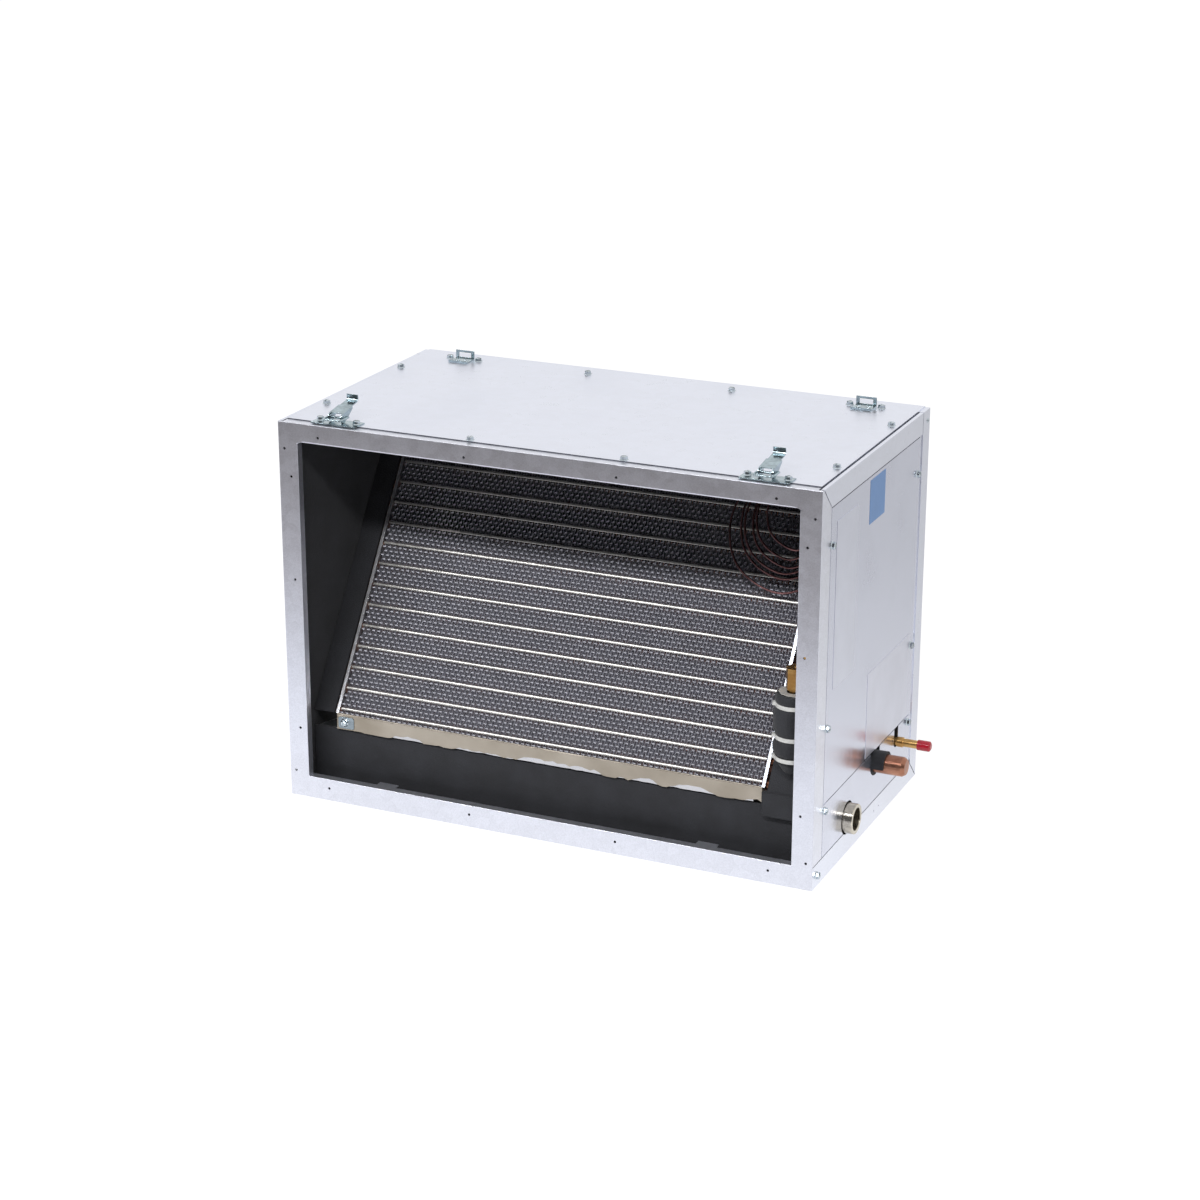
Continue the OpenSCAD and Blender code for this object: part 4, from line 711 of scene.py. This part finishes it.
plating = bright_zinc("zinc_plating", (182, 199, 206), 0.15)
clip_shape = bare_copy("corner_clip")
clip_low, clip_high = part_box("corner_clip")
clip_corners = []
for edge in clip_shape.edges:
    through = abs(edge.verts[0].co.y - edge.verts[1].co.y) > 0.9 * edge.calc_length()
    at_corner = all(min(v.co[k] - clip_low[k], clip_high[k] - v.co[k]) < 0.1 * MM
                    for v in edge.verts for k in (0, 2))
    if through and at_corner:
        clip_corners.append(edge)
bmesh.ops.bevel(clip_shape, geom=clip_corners, offset=2.6 * MM, offset_type="OFFSET", segments=5,
                profile=0.5, affect="EDGES", clamp_overlap=True)
clip_zinc = bright_zinc("clip_plating", (158, 170, 178), 0.24)
clip = finished("corner_clip_piece", rounded(clip_shape, 0.35 * MM, 2, 40), clip_zinc, "cabinet",
                "bright_zinc", 35, weighted=True)
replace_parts(clip, "corner_clip")


# The baffles and the pan's foam
# The same black foam closes the gaps beside the slab, covers the drain pan's front wall in long
# soft folds, and hangs as a flap at the right end of the apron.

soft_foam = black_foam("folded_foam", (46, 47, 52), 700)
foam_piece("left_baffle", "cabinet", 10 * MM, 1.0 * MM, 0.8 * MM)
foam_piece("right_baffle", "cabinet", 8 * MM, 1.0 * MM, 0.9 * MM, material=soft_foam)


def folded(place):
    """Two soft creases that hang from the apron near the left end, each from one place to another
    on the foam's face; they die away at both ends."""
    height, width = 1.5 * MM, 2.6 * MM
    move = Vector((0, 0, 0))
    for from_x, from_z, to_x, to_z in ((-0.196, 0.066, -0.150, 0.052), (-0.128, 0.064, -0.100, 0.050)):
        run = Vector((to_x - from_x, 0, to_z - from_z))
        out = Vector((place.x - from_x, 0, place.z - from_z))
        along = min(max(out.dot(run) / run.length_squared, 0.0), 1.0)
        away = (out - run * along).length
        move.y -= height * math.exp(-(away / width) ** 2) * math.sin(math.pi * (0.12 + 0.76 * along))
    return move


foam_piece("pan_foam", "cabinet", 3.5 * MM, 1.0 * MM, 1.6 * MM, stretch=(0.35, 1, 1.4), wave=24.0,
           material=soft_foam, pressed=folded)


# The drain pan and its coupling
# A folded pan under the slab, sloping to the right, and a nickel-coloured coupling that comes out
# through the tray's flange.

pan_coat = galvanised("pan_steel", (150, 153, 156), 1.5)
dressed("drain_pan", pan_coat, "cabinet", "pan_sheet", 0.3 * MM)
nickel = bright_zinc("nickel_plating", (216, 208, 192), 0.22)
dressed("drain_coupling", nickel, "cabinet", "coupling_metal", 0.8 * MM, 3)


# The pipes and their cap
# The suction stub is soft copper, its end pinched round for transport; the liquid stub is
# brass-coloured tube with a red plastic cap. A foam seal closes the slot above the suction stub.

stub_copper = copper("stub_copper", (208, 154, 128), (138, 88, 68), 0.32)
dressed("suction_line", stub_copper, "cabinet", "tube_copper", 1.2 * MM, 3, 60)
stub_brass = copper("stub_brass", (226, 186, 120), (180, 134, 74), 0.28)
dressed("liquid_line", stub_brass, "cabinet", "line_brass", 0.3 * MM, 2, 60)


def moulded(name, tone, roughness):
    """Moulded plastic with a faint orange-peel skin."""
    material, shader, place = new_finish(name, 0, roughness, Coat_Weight=0.15)
    cloud = place.speckle(120, 3)
    feed(shader, "Base Color", cloud.ramp(0.3, 0.7).mix(shade(*(v * 0.88 for v in tone)), shade(*tone)))
    feed(shader, "Roughness", roughness - 0.05 + 0.12 * cloud)
    relief(shader, place.speckle(500, 2), 0.0002)
    return material


dressed("liquid_cap", moulded("red_plastic_skin", (216, 34, 56), 0.22), "cap", "red_plastic", 0.5 * MM, 3, 60)
foam_piece("pipe_seal", "cabinet", 4 * MM, 0.8 * MM, 0.6 * MM)


# The expansion valve, its wrap and the capillaries
# A brass valve stands in front of the right baffle in a wrap of black foam tape held by three
# white ties; from its distributor thin copper capillaries loop over the fins into the baffle.

valve_brass = copper("valve_brass", (222, 184, 118), (160, 116, 62), 0.3)
dressed("expansion_valve", valve_brass, "cabinet", "line_brass", 0.5 * MM, 2, 45)
wrap_low, wrap_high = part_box("valve_wrap")
wrap_axis = Vector(((wrap_low[0] + wrap_high[0]) / 2, (wrap_low[1] + wrap_high[1]) / 2, 0))


def swell(place):
    """The tape swells on its free side between the ties and stays pinched at them and at its top."""
    bore, tie_heights, top_from = 11 * MM, (17 * MM, 41 * MM, 77 * MM), 84 * MM
    most_swell, top_pinch = 3.4 * MM, 1.4 * MM
    out = Vector((place.x - wrap_axis.x, place.y - wrap_axis.y, 0))
    if out.length < bore or place.z > wrap_high[2] - 1 * MM:
        return out * 0
    free = min(max(-(out.x + out.y) / out.length, 0.0), 1.0)
    height = place.z - wrap_low[2]
    puff = min(min(abs(height - tie) for tie in tie_heights) / (9 * MM), 1.0)
    puff = puff * puff * (3 - 2 * puff) * min(height / (12 * MM), 1.0)
    return out.normalized() * free * (most_swell * puff - (top_pinch if height > top_from else 0.0))


foam_piece("valve_wrap", "cabinet", 4 * MM, 1.2 * MM, 1.0 * MM, wave=40.0, material=soft_foam, pressed=swell)


def peeled_backing(name, middle, height, bore, reach, material):
    """The tape's pale backing, cut round the valve and left on top of the wrap."""
    shape = bmesh.new()
    sections, steps, thickness = [], 48, 0.6 * MM
    for k in range(steps):
        turn = 2 * math.pi * k / steps
        ragged = noise.fractal(Vector((math.cos(turn) * 2, math.sin(turn) * 2, 4.0)), 0.8, 2.0, 3)
        rim = reach + 1.6 * MM * ragged
        curl = 0.9 * MM * max(-math.cos(turn - 0.6), 0.0)
        sections.append([shape.verts.new((middle.x + span * math.cos(turn),
                                          middle.y + span * math.sin(turn), height + rise))
                         for span, rise in ((bore, 0.0), (rim, curl), (rim, curl + thickness),
                                            (bore, thickness))])
    for first, second in zip(sections, sections[1:] + sections[:1]):
        for n in range(4):
            shape.faces.new((first[n], first[(n + 1) % 4], second[(n + 1) % 4], second[n]))
    return finished(name, shape, material, "cabinet", "white_plastic", 40)


peeled_backing("wrap_backing", wrap_axis, wrap_high[2] + 0.1 * MM, 8.4 * MM, 17 * MM,
               moulded("backing_film", (206, 204, 200), 0.45))
dressed("cable_ties", moulded("tie_nylon", (232, 232, 230), 0.4), "cabinet", "white_plastic", 0.3 * MM)
capillary_copper = copper("capillary_copper", (158, 116, 116), (104, 70, 72), 0.4)
loops = bare_copy("capillary_tubes")
bmesh.ops.join_triangles(loops, faces=loops.faces, angle_face_threshold=0.6,
                         angle_shape_threshold=3.1)
capillaries = finished("capillary_tubes_piece", loops, capillary_copper, "cabinet", "dark_copper", 0)
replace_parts(subdivided(capillaries, 2), "capillary_tubes")


# The latches and keepers
# Bright zinc-plated draw latches: a base screwed to the cover, a lever on a riveted pin and a
# wire bail in front. The keepers at the back are riveted angles with a window for a bail.

for side in ("left", "right"):
    dressed(side + "_latch_base", plating, "cabinet", "bright_zinc", 0.3 * MM)
    dressed(side + "_latch_pin", plating, "cabinet", "bright_zinc", 0.25 * MM)
    dressed(side + "_latch_lever", plating, side + "_lever", "bright_zinc", 0.25 * MM)
    dressed(side + "_latch_bail", plating, side + "_bail", "bright_zinc", 0.1 * MM, 1, 60)
    dressed(side + "_keeper", plating, "cabinet", "bright_zinc", 0.3 * MM)


# Screws and rivets
# Zinc-plated hex washer-head screws with a slot across the head, and hollow dome rivets. They
# were driven by hand, so each slot stands at an angle of its own.

def loose_parts(node):
    """The lowest and highest corner of each separate solid of a CAD node."""
    shape = bare_copy(node)
    left, parts = set(shape.verts), []
    while left:
        front, part = [left.pop()], []
        while front:
            vert = front.pop()
            part.append(vert.co.copy())
            for edge in vert.link_edges:
                other = edge.other_vert(vert)
                if other in left:
                    left.remove(other)
                    front.append(other)
        parts.append([(min(c[k] for c in part), max(c[k] for c in part)) for k in range(3)])
    shape.free()
    return sorted(parts)


def seats(node, axis, side, height):
    """Where each fastener of a node stands on its sheet, from how far it reaches along an axis."""
    places = []
    for part in loose_parts(node):
        place = [(low + high) / 2 for low, high in part]
        place[axis] = part[axis][1] - height if side > 0 else part[axis][0] + height
        places.append(tuple(place))
    return places


def screw_heads(name, places, tilt, material):
    grower = Grower(name, washer_radius=4.9 * MM, washer_height=0.8 * MM, head_radius=4.0 * MM,
                    head_height=3.1 * MM, slot_width=1.2 * MM, slot_depth=1.1 * MM, seed=7)
    size = grower.size

    def cone(corners, top_radius, radius, depth):
        return grower.add("GeometryNodeMeshCone", {}, {
            "Vertices": corners, "Radius Top": top_radius, "Radius Bottom": radius, "Depth": depth})

    washer = cone(32, 0.82 * size("washer_radius"), size("washer_radius"), size("washer_height"))
    side = cone(6, size("head_radius"), size("head_radius"), 0.8 * size("head_height"))
    crown = cone(6, 0.78 * size("head_radius"), size("head_radius"), 0.2 * size("head_height"))
    raised = grower.add("GeometryNodeTransform", {}, {0: crown, "Translation": grower.vector(
        0.0, 0.0, 0.8 * size("head_height"))})
    both = grower.add("GeometryNodeJoinGeometry", {}, {0: side})
    grower.tree.links.new(raised.socket, both.socket.node.inputs[0])
    lifted = grower.add("GeometryNodeTransform", {}, {0: both, "Translation": grower.vector(
        0.0, 0.0, size("washer_height"))})
    whole = grower.add("GeometryNodeMergeByDistance", {}, {0: lifted, "Distance": 0.00001})
    blade = grower.add("GeometryNodeMeshCube", {}, {"Size": grower.vector(
        4.0 * size("head_radius"), size("slot_width"), 2.0 * size("slot_depth"))})
    placed = grower.add("GeometryNodeTransform", {}, {0: blade, "Translation": grower.vector(
        0.0, 0.0, size("washer_height") + size("head_height"))})
    slotted = grower.add("GeometryNodeMeshBoolean", {"operation": "DIFFERENCE"}, {0: whole, 1: placed})
    head = grower.add("GeometryNodeJoinGeometry", {}, {0: slotted})
    grower.tree.links.new(washer.socket, head.socket.node.inputs[0])
    turn = grower.add("FunctionNodeRandomValue", {"data_type": "FLOAT"},
                      {2: 0.0, 3: 6.28, 8: size("seed")}, out=1)
    stood = grower.add("GeometryNodeInstanceOnPoints", {},
                       {0: size("Places"), "Instance": head, "Rotation": tilt})
    turned = grower.add("GeometryNodeRotateInstances", {},
                        {0: stood, "Rotation": grower.vector(0.0, 0.0, turn)})
    return grower.grow(turned, material, places)


def rivet_domes(name, places, tilt, material):
    grower = Grower(name, dome_radius=3.0 * MM, dome_height=1.2 * MM, bore_radius=0.9 * MM)
    size = grower.size
    ball = grower.add("GeometryNodeMeshUVSphere", {},
                      {"Segments": 28, "Rings": 14, "Radius": size("dome_radius")})
    dome = grower.add("GeometryNodeTransform", {}, {0: ball, "Scale": grower.vector(
        1.0, 1.0, size("dome_height") / size("dome_radius"))})
    drill = grower.add("GeometryNodeMeshCylinder", {}, {"Vertices": 16, "Radius": size("bore_radius"),
                                                        "Depth": 4.0 * size("dome_height")})
    high = grower.add("GeometryNodeTransform", {}, {0: drill, "Translation": grower.vector(
        0.0, 0.0, 2.4 * size("dome_height"))})
    hollow = grower.add("GeometryNodeMeshBoolean", {"operation": "DIFFERENCE"}, {0: dome, 1: high})
    stood = grower.add("GeometryNodeInstanceOnPoints", {},
                       {0: size("Places"), "Instance": hollow, "Rotation": tilt})
    return grower.grow(stood, material, places)


screw_zinc = bright_zinc("screw_plating", (206, 216, 222), 0.1)
upright, forwards = (0.0, 0.0, 0.0), (math.pi / 2, 0.0, 0.0)
rightwards, leftwards = (0.0, math.pi / 2, 0.0), (0.0, -math.pi / 2, 0.0)
screw_reach, rivet_reach = 3.8 * MM, 1.2 * MM
for group, body, axis, side, tilt in (("cover_screws", "cabinet", 2, 1, upright),
                                      ("access_screws", "access_cover", 0, 1, rightwards),
                                      ("panel_screws", "cabinet", 0, 1, rightwards),
                                      ("corner_screw", "cabinet", 1, -1, forwards)):
    heads = screw_heads(group + "_heads", seats(group, axis, side, screw_reach), tilt, screw_zinc)
    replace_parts(finished(group + "_piece", heads, screw_zinc, body, "bright_zinc", 30), group)

keeper_domes = rivet_domes("keeper_rivet_domes", seats("keeper_rivets", 2, 1, rivet_reach), upright,
                           screw_zinc)
keeper_rivets = finished("keeper_rivets_piece", keeper_domes, screw_zinc, "cabinet", "bright_zinc", 30)
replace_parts(keeper_rivets, "keeper_rivets")
for name, side, tilt in (("right", 1, rightwards), ("left", -1, leftwards)):
    spots = [place for place in seats("frame_rivets", 0, side, rivet_reach) if place[0] * side > 0]
    domes = rivet_domes(name + "_rivet_domes", spots, tilt, screw_zinc)
    rivets = finished(name + "_frame_rivets", domes, screw_zinc, "cabinet", "bright_zinc", 30)
    if side > 0:
        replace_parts(rivets, "frame_rivets")
